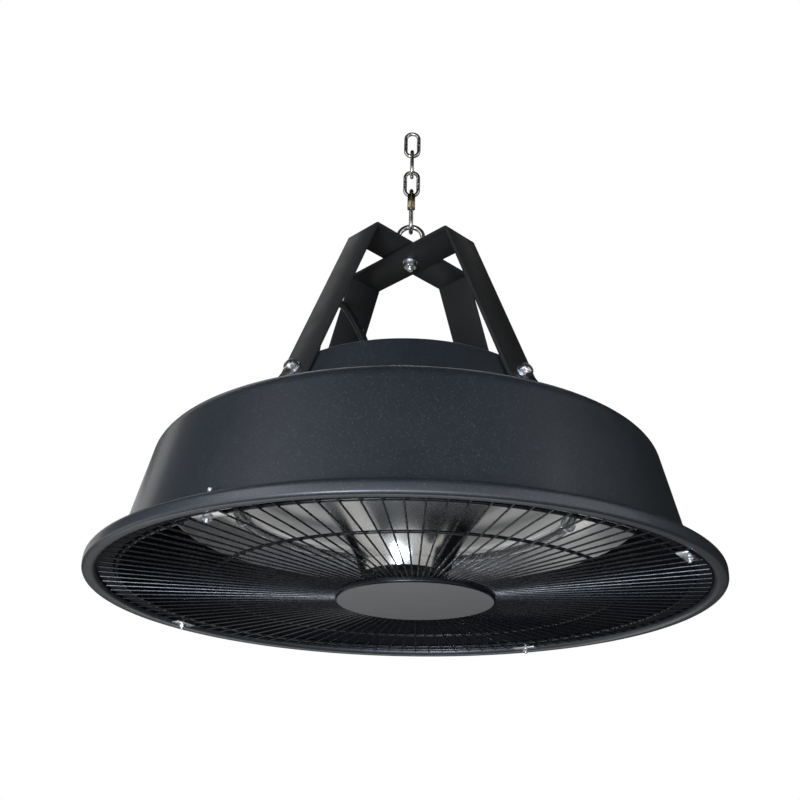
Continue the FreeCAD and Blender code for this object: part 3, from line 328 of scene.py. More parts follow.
def bridge(bm, first, second):
    """Faces between two closed rows of as many points."""
    for here in range(len(first)):
        after = (here + 1) % len(first)
        bm.faces.new((first[here], first[after], second[after], second[here]))


def rounded(points, radii, steps=7):
    """A polyline in a plane whose numbered corners become arcs of the given radii."""
    count = len(points)
    result = []
    for index, point in enumerate(points):
        here = Vector(point)
        if index not in radii:
            result.append(here)
            continue
        back = (Vector(points[index - 1]) - here).normalized()
        ahead = (Vector(points[(index + 1) % count]) - here).normalized()
        half = back.angle(ahead) / 2
        middle = here + (back + ahead).normalized() * radii[index] / math.sin(half)
        reach = radii[index] / math.tan(half)
        start = here + back * reach - middle
        swing = start.angle_signed(here + ahead * reach - middle)
        for step in range(steps + 1):
            turn = Matrix.Rotation(-swing * step / steps, 2)
            result.append(middle + turn @ start)
    return result


def turned(name, profile, steps, closed=False, across=None, place=None):
    """A mesh turned about Z from (radius, level) points; across limits it to a hexagon's flats."""
    bm = bmesh.new()
    rings = []
    for radius, level in profile:
        if radius < SAME_POINT:
            rings.append([bm.verts.new((0, 0, level))])
            continue
        ring = []
        for angle in around(steps):
            reach = radius
            if across:
                off_flat = (angle + math.pi / 6) % (math.pi / 3) - math.pi / 6
                reach = min(radius, across / 2 / math.cos(off_flat))
            ring.append(bm.verts.new((reach * math.cos(angle), reach * math.sin(angle), level)))
        rings.append(ring)
    pairs = list(zip(rings, rings[1:]))
    if closed:
        pairs.append((rings[-1], rings[0]))
    for low, high in pairs:
        for step in range(steps):
            after = (step + 1) % steps
            sides = ((low, step), (low, after), (high, after), (high, step))
            corners = list(dict.fromkeys(ring[spot % len(ring)] for ring, spot in sides))
            if len(corners) > 2:
                bm.faces.new(corners)
    bmesh.ops.remove_doubles(bm, verts=bm.verts, dist=SAME_POINT)
    if place:
        bmesh.ops.transform(bm, matrix=place, verts=bm.verts)
    return from_bmesh(name, bm)


def block(name, low, high, bevel):
    """A box between two corners with rounded edges."""
    bm = bmesh.new()
    low, high = Vector(low), Vector(high)
    place = Matrix.Translation((low + high) / 2) @ Matrix.Diagonal((*(high - low), 1))
    bmesh.ops.create_cube(bm, size=1, matrix=place)
    bmesh.ops.bevel(bm, geom=bm.edges[:], offset=bevel, segments=2, affect="EDGES", profile=0.5)
    return from_bmesh(name, bm)


def joined(name, *items):
    """One object of several meshes."""
    bm = bmesh.new()
    for item in items:
        bm.from_mesh(item.data)
    for item in items:
        bpy.data.objects.remove(item)
    return from_bmesh(name, bm, outward=False)


# Geometry node trees


def add(tree, kind, inputs=None, **settings):
    """A node with its settings; inputs are values, or sockets to link from, by name or number."""
    item = tree.nodes.new(kind)
    for name, value in settings.items():
        setattr(item, name, value)
    for key, value in (inputs or {}).items():
        if isinstance(value, bpy.types.NodeSocket):
            tree.links.new(value, item.inputs[key])
        else:
            item.inputs[key].default_value = value
    return item


def new_tree(name, sockets):
    """An empty geometry tree with named inputs after its geometry."""
    tree = bpy.data.node_groups.new(name, "GeometryNodeTree")
    tree.interface.new_socket("Geometry", in_out="INPUT", socket_type="NodeSocketGeometry")
    for label, kind in sockets:
        tree.interface.new_socket(label, in_out="INPUT", socket_type="NodeSocket" + kind)
    tree.interface.new_socket("Geometry", in_out="OUTPUT", socket_type="NodeSocketGeometry")
    return tree, add(tree, "NodeGroupInput").outputs


def close_tree(tree, geometry, material):
    """End a tree in real geometry with a material."""
    real = add(tree, "GeometryNodeRealizeInstances", {0: geometry})
    dressed = add(tree, "GeometryNodeSetMaterial", {"Geometry": real.outputs[0], "Material": material})
    add(tree, "NodeGroupOutput", {0: dressed.outputs[0]})
    return tree


def bent_bar_tree():
    """A round bar along a line of edges."""
    tree, given = new_tree("Bent bar", [("Bar Radius", "Float"), ("Sides", "Int"), ("Material", "Material")])
    line = add(tree, "GeometryNodeMeshToCurve", {"Mesh": given["Geometry"]})
    section = add(tree, "GeometryNodeCurvePrimitiveCircle",
                  {"Radius": given["Bar Radius"], "Resolution": given["Sides"]})
    bar = add(tree, "GeometryNodeCurveToMesh",
              {"Curve": line.outputs[0], "Profile Curve": section.outputs[0], "Fill Caps": True})
    return close_tree(tree, bar.outputs[0], given["Material"])


def turned_copies(tree, given, count, angle):
    """End a tree in copies of its geometry, each turned about the Z axis."""
    spots = add(tree, "GeometryNodePoints", {"Count": count})
    turn = add(tree, "FunctionNodeAxisAngleToRotation", {"Axis": (0, 0, 1), "Angle": angle.outputs[0]})
    copies = add(tree, "GeometryNodeInstanceOnPoints", {
        "Points": spots.outputs[0], "Instance": given["Geometry"], "Rotation": turn.outputs[0]})
    return close_tree(tree, copies.outputs[0], given["Material"])


def ring_tree():
    """Copies of a piece turned about the Z axis by equal steps."""
    tree, given = new_tree("Ring of copies", [("Count", "Int"), ("First Angle", "Float"),
                                              ("Step Angle", "Float"), ("Material", "Material")])
    index = add(tree, "GeometryNodeInputIndex")
    angle = add(tree, "ShaderNodeMath", {
        0: index.outputs[0], 1: given["Step Angle"], 2: given["First Angle"]}, operation="MULTIPLY_ADD")
    return turned_copies(tree, given, given["Count"], angle)


def gap_tree():
    """Four copies a quarter turn apart, each in the nearest gap between wires from an off-centre hub."""
    tree, given = new_tree("Copies in gaps", [("First Angle", "Float"), ("Gap Angle", "Float"),
                                              ("Off Middle", "Float"), ("Material", "Material")])
    index = add(tree, "GeometryNodeInputIndex")
    wanted = add(tree, "ShaderNodeMath", {0: index.outputs[0], 1: QUARTER, 2: given["First Angle"]},
                 operation="MULTIPLY_ADD")
    across = add(tree, "ShaderNodeMath", {0: wanted.outputs[0]}, operation="COSINE")
    across = add(tree, "ShaderNodeMath", {0: across.outputs[0], 1: given["Off Middle"]}, operation="SUBTRACT")
    along = add(tree, "ShaderNodeMath", {0: wanted.outputs[0]}, operation="SINE")
    hub = add(tree, "ShaderNodeMath", {0: along.outputs[0], 1: across.outputs[0]}, operation="ARCTAN2")
    # The middle of the gap there, as an angle at the hub
    for operation, other in (("DIVIDE", given["Gap Angle"]), ("FLOOR", 0), ("ADD", 0.5),
                             ("MULTIPLY", given["Gap Angle"])):
        hub = add(tree, "ShaderNodeMath", {0: hub.outputs[0], 1: other}, operation=operation)
    # From the dish's middle the same spot is seen at a smaller angle
    lean = hub
    for operation, other in (("SINE", 0), ("MULTIPLY", given["Off Middle"]), ("ARCSINE", 0)):
        lean = add(tree, "ShaderNodeMath", {0: lean.outputs[0], 1: other}, operation=operation)
    angle = add(tree, "ShaderNodeMath", {0: hub.outputs[0], 1: lean.outputs[0]}, operation="SUBTRACT")
    return turned_copies(tree, given, 4, angle)


def through_tree(item, tree, **values):
    """Run an object's mesh through a tree and keep the plain mesh that comes out."""
    modifier = item.modifiers.new(tree.name, "NODES")
    modifier.node_group = tree
    for socket in tree.interface.items_tree:
        key = socket.name.lower().replace(" ", "_")
        if socket.in_out == "INPUT" and key in values:
            modifier[socket.identifier] = values[key]
    graph = bpy.context.evaluated_depsgraph_get()
    mesh = bpy.data.meshes.new_from_object(item.evaluated_get(graph))
    name = item.name
    bpy.data.objects.remove(item)
    return place_mesh(name, mesh)


def bent_bars(name, paths, radius, material, closed=False, sides=16):
    """Round bars along paths of points, as one mesh."""
    mesh = bpy.data.meshes.new(name + "_line")
    points, edges = [], []
    for path in paths:
        first = len(points)
        points += [tuple(point) for point in path]
        edges += [(index, index + 1) for index in range(first, len(points) - 1)]
        if closed:
            edges.append((len(points) - 1, first))
    mesh.from_pydata(points, edges, [])
    line = bpy.data.objects.new(name, mesh)
    bpy.context.scene.collection.objects.link(line)
    return through_tree(line, tree_named("Bent bar"), bar_radius=radius, sides=sides, material=material)


def ring_of(item, count, first, step, material):
    """Copies of a piece about the Z axis, as one mesh."""
    return through_tree(item, tree_named("Ring of copies"), count=count, first_angle=first, step_angle=step,
                        material=material)


def tree_named(name):
    makers = {"Bent bar": bent_bar_tree, "Ring of copies": ring_tree, "Copies in gaps": gap_tree}
    return bpy.data.node_groups.get(name) or makers[name]()


# Finishes


def linear(value):
    """An sRGB hex value as linear colour."""
    parts = [int(value[index:index + 2], 16) / 255 for index in (1, 3, 5)]
    return (*(part / 12.92 if part <= 0.04045 else ((part + 0.055) / 1.055) ** 2.4 for part in parts), 1)


def shader(name, **sockets):
    """A new material's tree, its main shader with the given sockets, and its object coordinates."""
    material = bpy.data.materials.new(name)
    material.use_nodes = True
    tree = material.node_tree
    main = tree.nodes["Principled BSDF"]
    for label, value in sockets.items():
        main.inputs[label.replace("_", " ")].default_value = value
    spot = add(tree, "ShaderNodeTexCoord").outputs["Object"]
    return material, tree, main, spot


def uneven(tree, main, spot, grain, low, high):
    """Roughness that wanders between two values over patches of a size in metres."""
    noise = add(tree, "ShaderNodeTexNoise", {"Vector": spot, "Scale": 1 / grain, "Detail": 3})
    spread = add(tree, "ShaderNodeMapRange", {"Value": noise.outputs["Fac"], "From Min": 0.3, "From Max": 0.7,
                                              "To Min": low, "To Max": high})
    tree.links.new(spread.outputs[0], main.inputs["Roughness"])
    return noise


def raised(tree, main, height, depth):
    """Relief of a depth in metres from a height between 0 and 1."""
    bump = add(tree, "ShaderNodeBump", {"Height": height, "Distance": depth, "Strength": 1})
    tree.links.new(bump.outputs[0], main.inputs["Normal"])


def two_tone(tree, main, factor, first, second):
    """Base colour between two hex values."""
    blend = add(tree, "ShaderNodeMix", {"Factor": factor, 6: linear(first), 7: linear(second)},
                data_type="RGBA")
    tree.links.new(blend.outputs[2], main.inputs["Base Color"])


def grained(name, first, second, grain, rough, relief=0, peel=0, detail=2, **sockets):
    """A material in two hex tones, with patches of a size in metres and roughness between two values.

    Its relief follows the patches, or a finer peel where that has a size.
    """
    material, tree, main, spot = shader(name, **sockets)
    patches = uneven(tree, main, spot, grain, *rough)
    two_tone(tree, main, patches.outputs["Fac"], first, second)
    if peel:
        patches = add(tree, "ShaderNodeTexNoise", {"Vector": spot, "Scale": 1 / peel, "Detail": detail})
    if relief:
        raised(tree, main, patches.outputs["Fac"], relief)
    return material


def powder_coat(finish):
    """Polyester powder coat, sprayed and baked: a soft sheen, orange-peel relief and bright metal flecks."""
    material, tree, main, spot = shader("flecked_powder_coat", IOR=1.5, Specular_IOR_Level=0.8,
                                        Coat_Weight=0.35, Coat_Roughness=0.2)
    # Flecks are under 0.1 mm; cells of 1.1 mm are as fine as the picture can show
    cells = add(tree, "ShaderNodeTexVoronoi", {"Vector": spot, "Scale": 1 / (1.1 * MM)})
    pick = add(tree, "ShaderNodeSeparateColor", {0: cells.outputs["Color"]})
    rare = add(tree, "ShaderNodeMapRange", {"Value": pick.outputs[0], "From Min": 0.72, "From Max": 1.0})
    core = add(tree, "ShaderNodeMapRange", {"Value": cells.outputs["Distance"], "From Min": 0.15,
                                            "From Max": 0.5, "To Min": 0.26, "To Max": 0.0})
    fleck = add(tree, "ShaderNodeMath", {0: rare.outputs[0], 1: core.outputs[0]}, operation="MULTIPLY")
    two_tone(tree, main, fleck.outputs[0], finish.shade, finish.fleck)
    uneven(tree, main, spot, 40 * MM, 0.48, 0.54)
    # Orange peel has waves of about 2 mm
    peel = add(tree, "ShaderNodeTexNoise", {"Vector": spot, "Scale": 1 / (2 * MM), "Detail": 2})
    raised(tree, main, peel.outputs["Fac"], 0.05 * MM)
    return material


def satin_paint(finish):
    """Satin black stoving enamel on flat steel bar: smooth, with a faint peel and a warm cast."""
    return grained("satin_black_enamel", finish.bracket, "#2b2b2a", grain=25 * MM, rough=(0.38, 0.48),
                   relief=0.03 * MM, peel=1.6 * MM, IOR=1.5, Specular_IOR_Level=0.15)


def dipped_wire(finish):
    """Black dip coat on drawn wire: glossy crests and a slightly lumpy skin."""
    return grained("black_dip_coat", finish.guard, "#131518", grain=6 * MM, rough=(0.22, 0.34),
                   relief=0.05 * MM, IOR=1.5, Specular_IOR_Level=0.4)


def painted_shade_coat(finish):
    """Painted shade inside the dish: a near-black matt coat for its dark inside, dull, with a fine tooth."""
    return grained("matt_black_spray", finish.painted_inside_shade, "#141517", grain=3 * MM, rough=(0.62, 0.75),
                   relief=0.04 * MM, IOR=1.5, Specular_IOR_Level=0.1)


def matt_plate(finish):
    """Matt grey heat-proof coat on a pressed plate: dull and gritty, with faint paler rubs."""
    return grained("matt_grey_coat", finish.disc, "#6e6e6c", grain=30 * MM, rough=(0.55, 0.68),
                   relief=0.03 * MM, peel=1.2 * MM, detail=4, IOR=1.45, Specular_IOR_Level=0.3)


def polished_steel(finish):
    """Tumbled stainless steel: bright, with soft pits that break up the reflections."""
    return grained("tumbled_stainless", finish.steel, "#aeaba5", grain=3 * MM, rough=(0.2, 0.32),
                   relief=0.012 * MM, Metallic=1.0)


def browned_steel(finish):
    """Oil-browned steel: dark olive brown, with the sheen of the bar beneath."""
    return grained("browned_steel", finish.sleeve, "#5d5546", grain=2 * MM, rough=(0.18, 0.3), Metallic=1.0)


def zinc_plate(finish):
    """Bright zinc plating on small fasteners: cool, mottled and a little hazy."""
    return grained("bright_zinc", finish.zinc, "#bcbebe", grain=2 * MM, rough=(0.28, 0.42),
                   relief=0.008 * MM, Metallic=1.0)


def spun_mirror(finish):
    """Spun aluminium: a burnished cone in a satin ring, with rings left by the spinning tool."""
    material, tree, main, spot = shader("spun_aluminium")
    patches = add(tree, "ShaderNodeTexNoise", {"Vector": spot, "Scale": 1 / (30 * MM), "Detail": 3})
    two_tone(tree, main, patches.outputs["Fac"], finish.mirror, "#d2d2cf")
    parts = add(tree, "ShaderNodeSeparateXYZ", {0: spot})
    flat = add(tree, "ShaderNodeCombineXYZ", {0: parts.outputs[0], 1: parts.outputs[1]})
    reach = add(tree, "ShaderNodeVectorMath", {0: flat.outputs[0]}, operation="LENGTH")
    # The tool polishes the cone's foot; towards the ring the sheet keeps its rolled satin,
    # and has a dull oxide film, which scatters some of the light
    for label, near, far, polished, plain in (("Roughness", 52 * MM, 100 * MM, 0.16, 0.38),
                                              ("Metallic", 64 * MM, 78 * MM, 1.0, 0.8)):
        change = add(tree, "ShaderNodeMapRange", {"Value": reach.outputs["Value"], "From Min": near,
                                                  "From Max": far, "To Min": polished, "To Max": plain})
        tree.links.new(change.outputs[0], main.inputs[label])
    # Tool rings are about 0.5 mm apart; 4 mm is what the picture can show
    rings = add(tree, "ShaderNodeTexNoise", {"W": reach.outputs["Value"], "Scale": 1 / (4 * MM), "Detail": 2},
                noise_dimensions="1D")
    raised(tree, main, rings.outputs["Fac"], 0.004 * MM)
    return material


def quartz(finish):
    """Drawn quartz glass: clear and glossy, with faintly duller patches."""
    material, tree, main, spot = shader("quartz_glass", IOR=1.46, Transmission_Weight=1.0,
                                        Base_Color=linear(finish.glass))
    uneven(tree, main, spot, 12 * MM, 0.0, 0.04)
    return material


def carbon_fibre(finish):
    """Braided carbon fibre: near black, with painted grey glints on random tufts."""
    material, tree, main, spot = shader("carbon_fibre", IOR=1.6)
    # Filaments are under a hundredth of a millimetre; tufts of 0.8 mm can still be seen
    tufts = uneven(tree, main, spot, 0.8 * MM, 0.35, 0.6)
    # Painted highlight: the pale tone on the brightest tufts stands for glints in the base colour
    painted_glint = add(tree, "ShaderNodeMapRange", {"Value": tufts.outputs["Fac"], "From Min": 0.46,
                                             "From Max": 0.57})
    two_tone(tree, main, painted_glint.outputs[0], finish.carbon, "#c6c4bf")
    raised(tree, main, tufts.outputs["Fac"], 0.2 * MM)
    return material


def steatite(finish):
    """Pressed steatite ceramic: cream, dull, with fine darker specks."""
    return grained("steatite", finish.ceramic, "#cfc8b8", grain=1.5 * MM, rough=(0.5, 0.7),
                   relief=0.04 * MM, IOR=1.55)


def cord_rubber(finish):
    """Extruded rubber jacket: deep black, satin, with a fine bloom."""
    return grained("rubber_jacket", finish.rubber, "#202020", grain=5 * MM, rough=(0.42, 0.58),
                   relief=0.04 * MM, IOR=1.5, Specular_IOR_Level=0.25)


def moulded_plastic(finish):
    """Spark-textured polyamide: black with a fine even grain."""
    return grained("textured_polyamide", finish.plastic, "#1f1f1f", grain=1.2 * MM, rough=(0.4, 0.52),
                   relief=0.03 * MM, IOR=1.53)


def nickel_plate(finish):
    """Nickel-plated brass: warm and bright, with fine wear."""
    return grained("nickel_plate", finish.nickel, "#b8b09c", grain=2 * MM, rough=(0.16, 0.28), Metallic=1.0)


def silicone_sleeve(finish):
    """Glass-silicone sleeving on the lamp's leads: chalky with a fine tick."""
    return grained("silicone_sleeve", finish.lead, "#b2ab9b", grain=1 * MM, rough=(0.6, 0.75), IOR=1.42)


FINISH_OF_SLOT = {
    "polished_steel": polished_steel, "browned_steel": browned_steel, "zinc_steel": zinc_plate,
    "bracket_paint": satin_paint, "shade_paint": powder_coat, "painted_shade_inside": painted_shade_coat,
    "guard_black": dipped_wire, "guard_grey": matt_plate, "mirror_finish": spun_mirror, "quartz": quartz,
    "carbon": carbon_fibre, "ceramic": steatite, "lead_sleeve": silicone_sleeve,
    "gland_plastic": moulded_plastic, "cord_rubber": cord_rubber, "plug_metal": nickel_plate,
}
made_finishes = {}


def finish_for(slot):
    """The material of one of the record's slots, of the painted shade inside the dish, or of the sleeve, made
    once.
    """
    if slot not in made_finishes:
        made_finishes[slot] = FINISH_OF_SLOT[slot](bpy.context.scene.heater_finishes)
    return made_finishes[slot]


def fit(item, slot, *nodes, body="heater"):
    """Dress a piece, let it ride on its body and stand for its CAD nodes."""
    if not item.data.materials:
        item.data.materials.append(finish_for(slot))
    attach(item, body)
    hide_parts(*nodes)


# Shapes that several operators share


def flank_of(shade):
    """How far the cap's flank leans in per metre up, its base's level, and the slope of the dish's top."""
    shoulder = shade.rim_radius - shade.rim_width - shade.flange_width - shade.wall_lean
    top_slope = (shade.crown_level - shade.shoulder_level) / (shoulder - shade.crown_radius)
    base = shade.shoulder_level + (shoulder - shade.cap_base) * top_slope + shade.cap_gap
    return shade.cap_lean / (shade.cap_level - base), base, top_slope


def square_to_flank(shade, bracket):
    """Places a piece that stands along Z square to the cap's flank, on the X side."""
    flank = flank_of(shade)[0]
    reach = shade.cap_base - shade.cap_lean + (shade.cap_level - bracket.bolt_level) * flank
    return (Matrix.Translation((reach, 0, RIM + bracket.bolt_level))
            @ Matrix.Rotation(QUARTER - math.atan(flank), 4, "Y"))


def corner_of(across):
    """Radius over a hexagon's corners, from its size across the flats."""
    return across / 2 / math.cos(math.pi / 6)


def washer_profile(bracket, level):
    """Half section of a washer with eased edges, from a level up."""
    bore, edge, top = bracket.thread / 2 + 0.2 * MM, bracket.washer_radius, level + bracket.washer
    corners = [(bore, level), (edge, level), (edge, top), (bore, top)]
    return rounded(corners, dict.fromkeys(range(4), 0.3 * MM), 2)


def nut_profile(across, height, bore, chamfer=0.6 * MM):
    """Half section of a chamfered nut; the hexagon's flats cut it to shape."""
    corner = corner_of(across)
    return [(bore, 0), (across / 2, 0), (corner, chamfer), (corner, height - chamfer), (across / 2, height),
            (bore, height)]


def threaded(radius, low, high, pitch):
    """Half section of a threaded end, as ridges from a low to a high level."""
    ridges = []
    count = int((high - low) / pitch)
    for ridge in range(count):
        level = low + ridge * pitch
        ridges += [(radius - 0.35 * pitch, level), (radius, level + 0.5 * pitch)]
    return ridges + [(radius, high)]


# Stage


def seen_directly(tree):
    """1 for what the camera sees by itself, in metal or through glass, and 0 for the light on the object."""
    path = add(tree, "ShaderNodeLightPath")
    seen = path.outputs["Is Camera Ray"]
    for ray in ("Is Glossy Ray", "Is Transmission Ray"):
        seen = add(tree, "ShaderNodeMath", {0: seen, 1: path.outputs[ray]}, operation="MAXIMUM").outputs[0]
    return seen


def set_camera(scene):
    """Camera below the rim, looking up at the heater."""
    pan, tilt, roll = CAMERA_PAN, CAMERA_TILT, CAMERA_ROLL
    ahead = Vector((math.sin(pan) * math.cos(tilt), math.cos(pan) * math.cos(tilt), math.sin(tilt)))
    level = Vector((math.cos(pan), -math.sin(pan), 0))
    up = level.cross(ahead)
    right = math.cos(roll) * level + math.sin(roll) * up
    up = math.cos(roll) * up - math.sin(roll) * level
    turn = Matrix((right, up, -ahead)).transposed().to_4x4()
    camera = bpy.data.objects.new("camera", bpy.data.cameras.new("camera"))
    camera.matrix_world = Matrix.Translation(CAMERA_PLACE) @ turn
    camera.data.sensor_width = CAMERA_SENSOR
    camera.data.lens = CAMERA_LENS
    camera.data.clip_start = CAMERA_CLIP
    scene.collection.objects.link(camera)
    scene.camera = camera


def lay_floor():
    """Painted floor, pale where it is seen."""
    bm = bmesh.new()
    bmesh.ops.create_grid(bm, x_segments=1, y_segments=1, size=FLOOR_HALF)
    bmesh.ops.translate(bm, verts=bm.verts, vec=(0, 0, FLOOR_LEVEL))
    floor = from_bmesh("floor", bm, outward=False)
    material, tree, main, spot = shader("pale_floor", Roughness=0.9, Specular_IOR_Level=0.2,
                                        Emission_Color=linear("#ffffff"))
    clouds = add(tree, "ShaderNodeTexNoise", {"Vector": spot, "Scale": 0.7})
    two_tone(tree, main, clouds.outputs["Fac"], "#d8d6d3", "#dddbd8")
    glow = add(tree, "ShaderNodeMapRange", {"Value": seen_directly(tree), "To Min": 0.0,
                                            "To Max": FLOOR_GLOW})
    tree.links.new(glow.outputs[0], main.inputs["Emission Strength"])
    floor.data.materials.append(material)


def set_cards():
    """Cards that only gloss shows, as a studio sets them round dark and polished goods."""
    dark = shader("black_card", Base_Color=linear("#08080a"), Roughness=0.9, Specular_IOR_Level=0.1)[0]
    pale = shader("white_card", Base_Color=linear("#f4f4f4"), Roughness=0.9,
                  Emission_Color=linear("#ffffff"), Emission_Strength=1.0)[0]
    for cards, paint in ((DARK_CARDS, dark), (PALE_CARDS, pale)):
        for name, (place, aim, width, height) in cards.items():
            turn = (Vector(aim) - Vector(place)).to_track_quat("Z", "Y").to_matrix().to_4x4()
            stretch = Matrix.Diagonal((width, height, 1, 1))
            bm = bmesh.new()
            bmesh.ops.create_grid(bm, x_segments=1, y_segments=1, size=0.5,
                                  matrix=Matrix.Translation(place) @ turn @ stretch)
            card = from_bmesh(name, bm, outward=False)
            card.data.materials.append(paint)
            card.visible_camera = card.visible_diffuse = False
            card.visible_transmission = card.visible_shadow = False


def hang_lamps(scene):
    """Soft rectangular lamps."""
    for name, (place, aim, width, height, power, tint) in LAMPS.items():
        lamp = bpy.data.lights.new(name, "AREA")
        lamp.shape = "RECTANGLE"
        lamp.size = width
        lamp.size_y = height
        lamp.energy = power
        lamp.color = linear(tint)[:3]
        item = bpy.data.objects.new(name, lamp)
        item.location = place
        item.visible_camera = False
        item.rotation_euler = (Vector(aim) - Vector(place)).to_track_quat("-Z", "Y").to_euler()
        scene.collection.objects.link(item)


def set_surround(scene):
    """White surround, weaker as light on the heater than where it is seen."""
    world = bpy.data.worlds.new("white_surround")
    world.use_nodes = True
    scene.world = world
    tree = world.node_tree
    strength = add(tree, "ShaderNodeMapRange", {"Value": seen_directly(tree), "To Min": SURROUND_LIGHT,
                                                "To Max": SURROUND_SEEN})
    background = tree.nodes["Background"]
    background.inputs["Color"].default_value = linear("#ffffff")
    tree.links.new(strength.outputs[0], background.inputs["Strength"])


# Operators


class HeaterOperator:
    """What the heater's operators share."""

    bl_options = {"REGISTER", "UNDO"}


class HEATER_OT_stage(HeaterOperator, bpy.types.Operator):
    """Camera, pale floor, dark and pale cards, soft lamps and a white surround"""

    bl_idname = "heater.stage"
    bl_label = "Stage"

    def execute(self, context):
        set_camera(context.scene)
        context.scene.view_settings.view_transform = "Standard"
        lay_floor()
        set_cards()
        hang_lamps(context.scene)
        set_surround(context.scene)
        return {"FINISHED"}


class HEATER_OT_cord(HeaterOperator, bpy.types.Operator):
    """Power cord from the gland to its coil and plug on the cap"""

    bl_idname = "heater.cord"
    bl_label = "Power cord"

    def execute(self, context):
        size = context.scene.heater_cord
        middle = Vector((size.coil_x, size.coil_y, 0))
        points = [Vector(spot) for spot in CORD_ROUTE]
        # The turns go inwards, step down to the lower layer and come out again
        step_down = 0.5
        total = 2 * size.turns + step_down
        each = 20
        # The spline runs inside its points, so the turns' points lie a little further out
        outward = 1 / math.cos(math.pi / each)
        for index in range(int(total * each) + 1):
            turns = index / each
            fallen = min(max(turns - size.turns, 0), step_down)
            inward = min(turns, size.turns, total - turns)
            reach = (size.coil_radius - size.turn_pitch * inward) * outward
            level = size.high - size.layer_pitch * (1 - math.cos(2 * math.pi * fallen)) / 2
            angle = 2 * math.pi * turns
            points.append(middle + Vector((reach * math.sin(angle), reach * math.cos(angle), level)))
        low = size.high - size.layer_pitch
        for along in (0.4, 1):
            points.append(middle + Vector((size.coil_radius, -size.tail * along, low)))

        curve = bpy.data.curves.new("power_cord_line", "CURVE")
        curve.dimensions = "3D"
        spline = curve.splines.new("NURBS")
        spline.points.add(len(points) - 1)
        for knot, point in zip(spline.points, points):
            knot.co = (point.x, point.y, point.z + RIM, 1)
        spline.order_u = 3
        spline.use_endpoint_u = True
        spline.resolution_u = 6
        curve.bevel_depth = size.diameter / 2
        curve.bevel_resolution = 5
        curve.use_fill_caps = True
        cord = bpy.data.objects.new("power_cord_line", curve)
        context.scene.collection.objects.link(cord)
        fit(cord, "cord_rubber", "power_cord", "cord_coil")
        return {"FINISHED"}


class HEATER_OT_chain(HeaterOperator, bpy.types.Operator):
    """Welded chain links, each on its own body"""

    bl_idname = "heater.chain"
    bl_label = "Chain"

    def execute(self, context):
        size = context.scene.heater_chain
        half_wide, half_long = (size.wide - size.wire) / 2, (size.long - size.wire) / 2
        corners = [(-half_wide, -half_long), (half_wide, -half_long), (half_wide, half_long),
                   (-half_wide, half_long)]
        loop = rounded(corners, dict.fromkeys(range(4), FULL_ROUND * half_wide), steps=10)
        # The butt weld stands a little proud in the middle of one side
        proud, land, end, ease = size.wire * 0.53, 1.6 * MM, 2.2 * MM, 0.5 * MM
        bulge = rounded([(0, -end), (proud, -land), (proud, land), (0, end)], {1: ease, 2: ease}, 3)
        steel = finish_for("polished_steel")
        for node, body, across in (
            ("chain_link_top", "anchor_link", Vector((1, 0, 0))),
            ("chain_link_upper", "upper_link", Vector((0, 1, 0))),
            ("chain_link_lower", "lower_link", Vector((1, 0, 0))),
        ):
            low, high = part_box(node)
            middle = (low + high) / 2
            path = [middle + across * out + Vector((0, 0, up)) for out, up in loop]
            link = bent_bars(node + "_bar", [path], size.wire / 2, steel, closed=True)
            weld = turned(node + "_weld", bulge, steps=20)
            weld.data.transform(Matrix.Translation(middle + across * half_wide))
            fit(joined(node + "_welded", link, weld), "polished_steel", node, body=body)
        return {"FINISHED"}


class HEATER_OT_screw_link(HeaterOperator, bpy.types.Operator):
    """Screw link: a bar bent round to an open mouth, and its hexagon sleeve"""

    bl_idname = "heater.screw_link"
    bl_label = "Screw link"

    def execute(self, context):
        size = context.scene.heater_chain
        low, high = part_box("quick_link_body")
        middle = (low + high) / 2
        half_wide = (size.quick_wide - size.quick_wire) / 2
        half_long = (size.quick_long - size.quick_wire) / 2
        mouth_low = size.mouth_rise - size.mouth / 2
        mouth_high = size.mouth_rise + size.mouth / 2
        corners = [(-half_wide, mouth_high), (-half_wide, half_long), (half_wide, half_long),
                   (half_wide, -half_long), (-half_wide, -half_long), (-half_wide, mouth_low)]
        loop = rounded(corners, dict.fromkeys((1, 2, 3, 4), FULL_ROUND * half_wide), steps=12)
        path = [middle + Vector((0, y, z)) for y, z in loop]
        bar = bent_bars("quick_link_bar", [path], size.quick_wire / 2, finish_for("polished_steel"))
        fit(bar, "polished_steel", "quick_link_body", body="quick_link")

        low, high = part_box("quick_link_sleeve")
        tall = high.z - low.z
        across = size.sleeve_across
        corner = corner_of(across)
        bore = size.quick_wire / 2 + 0.05 * MM
        waist = across / 2 - 0.35 * MM
        chamfer, groove = 0.9 * MM, 0.4 * MM
        profile = [(bore, 0), (waist, 0), (corner, chamfer), (corner, tall / 2 - groove), (waist, tall / 2),
                   (corner, tall / 2 + groove), (corner, tall - chamfer), (waist, tall), (bore, tall)]
        place = Matrix.Translation((0, (low.y + high.y) / 2, low.z))
        sleeve = turned("quick_link_nut", profile, steps=72, closed=True, across=across, place=place)
        sleeve.data.materials.append(finish_for("browned_steel"))
        fit(sleeve, "polished_steel", "quick_link_sleeve", body="quick_sleeve")
        return {"FINISHED"}


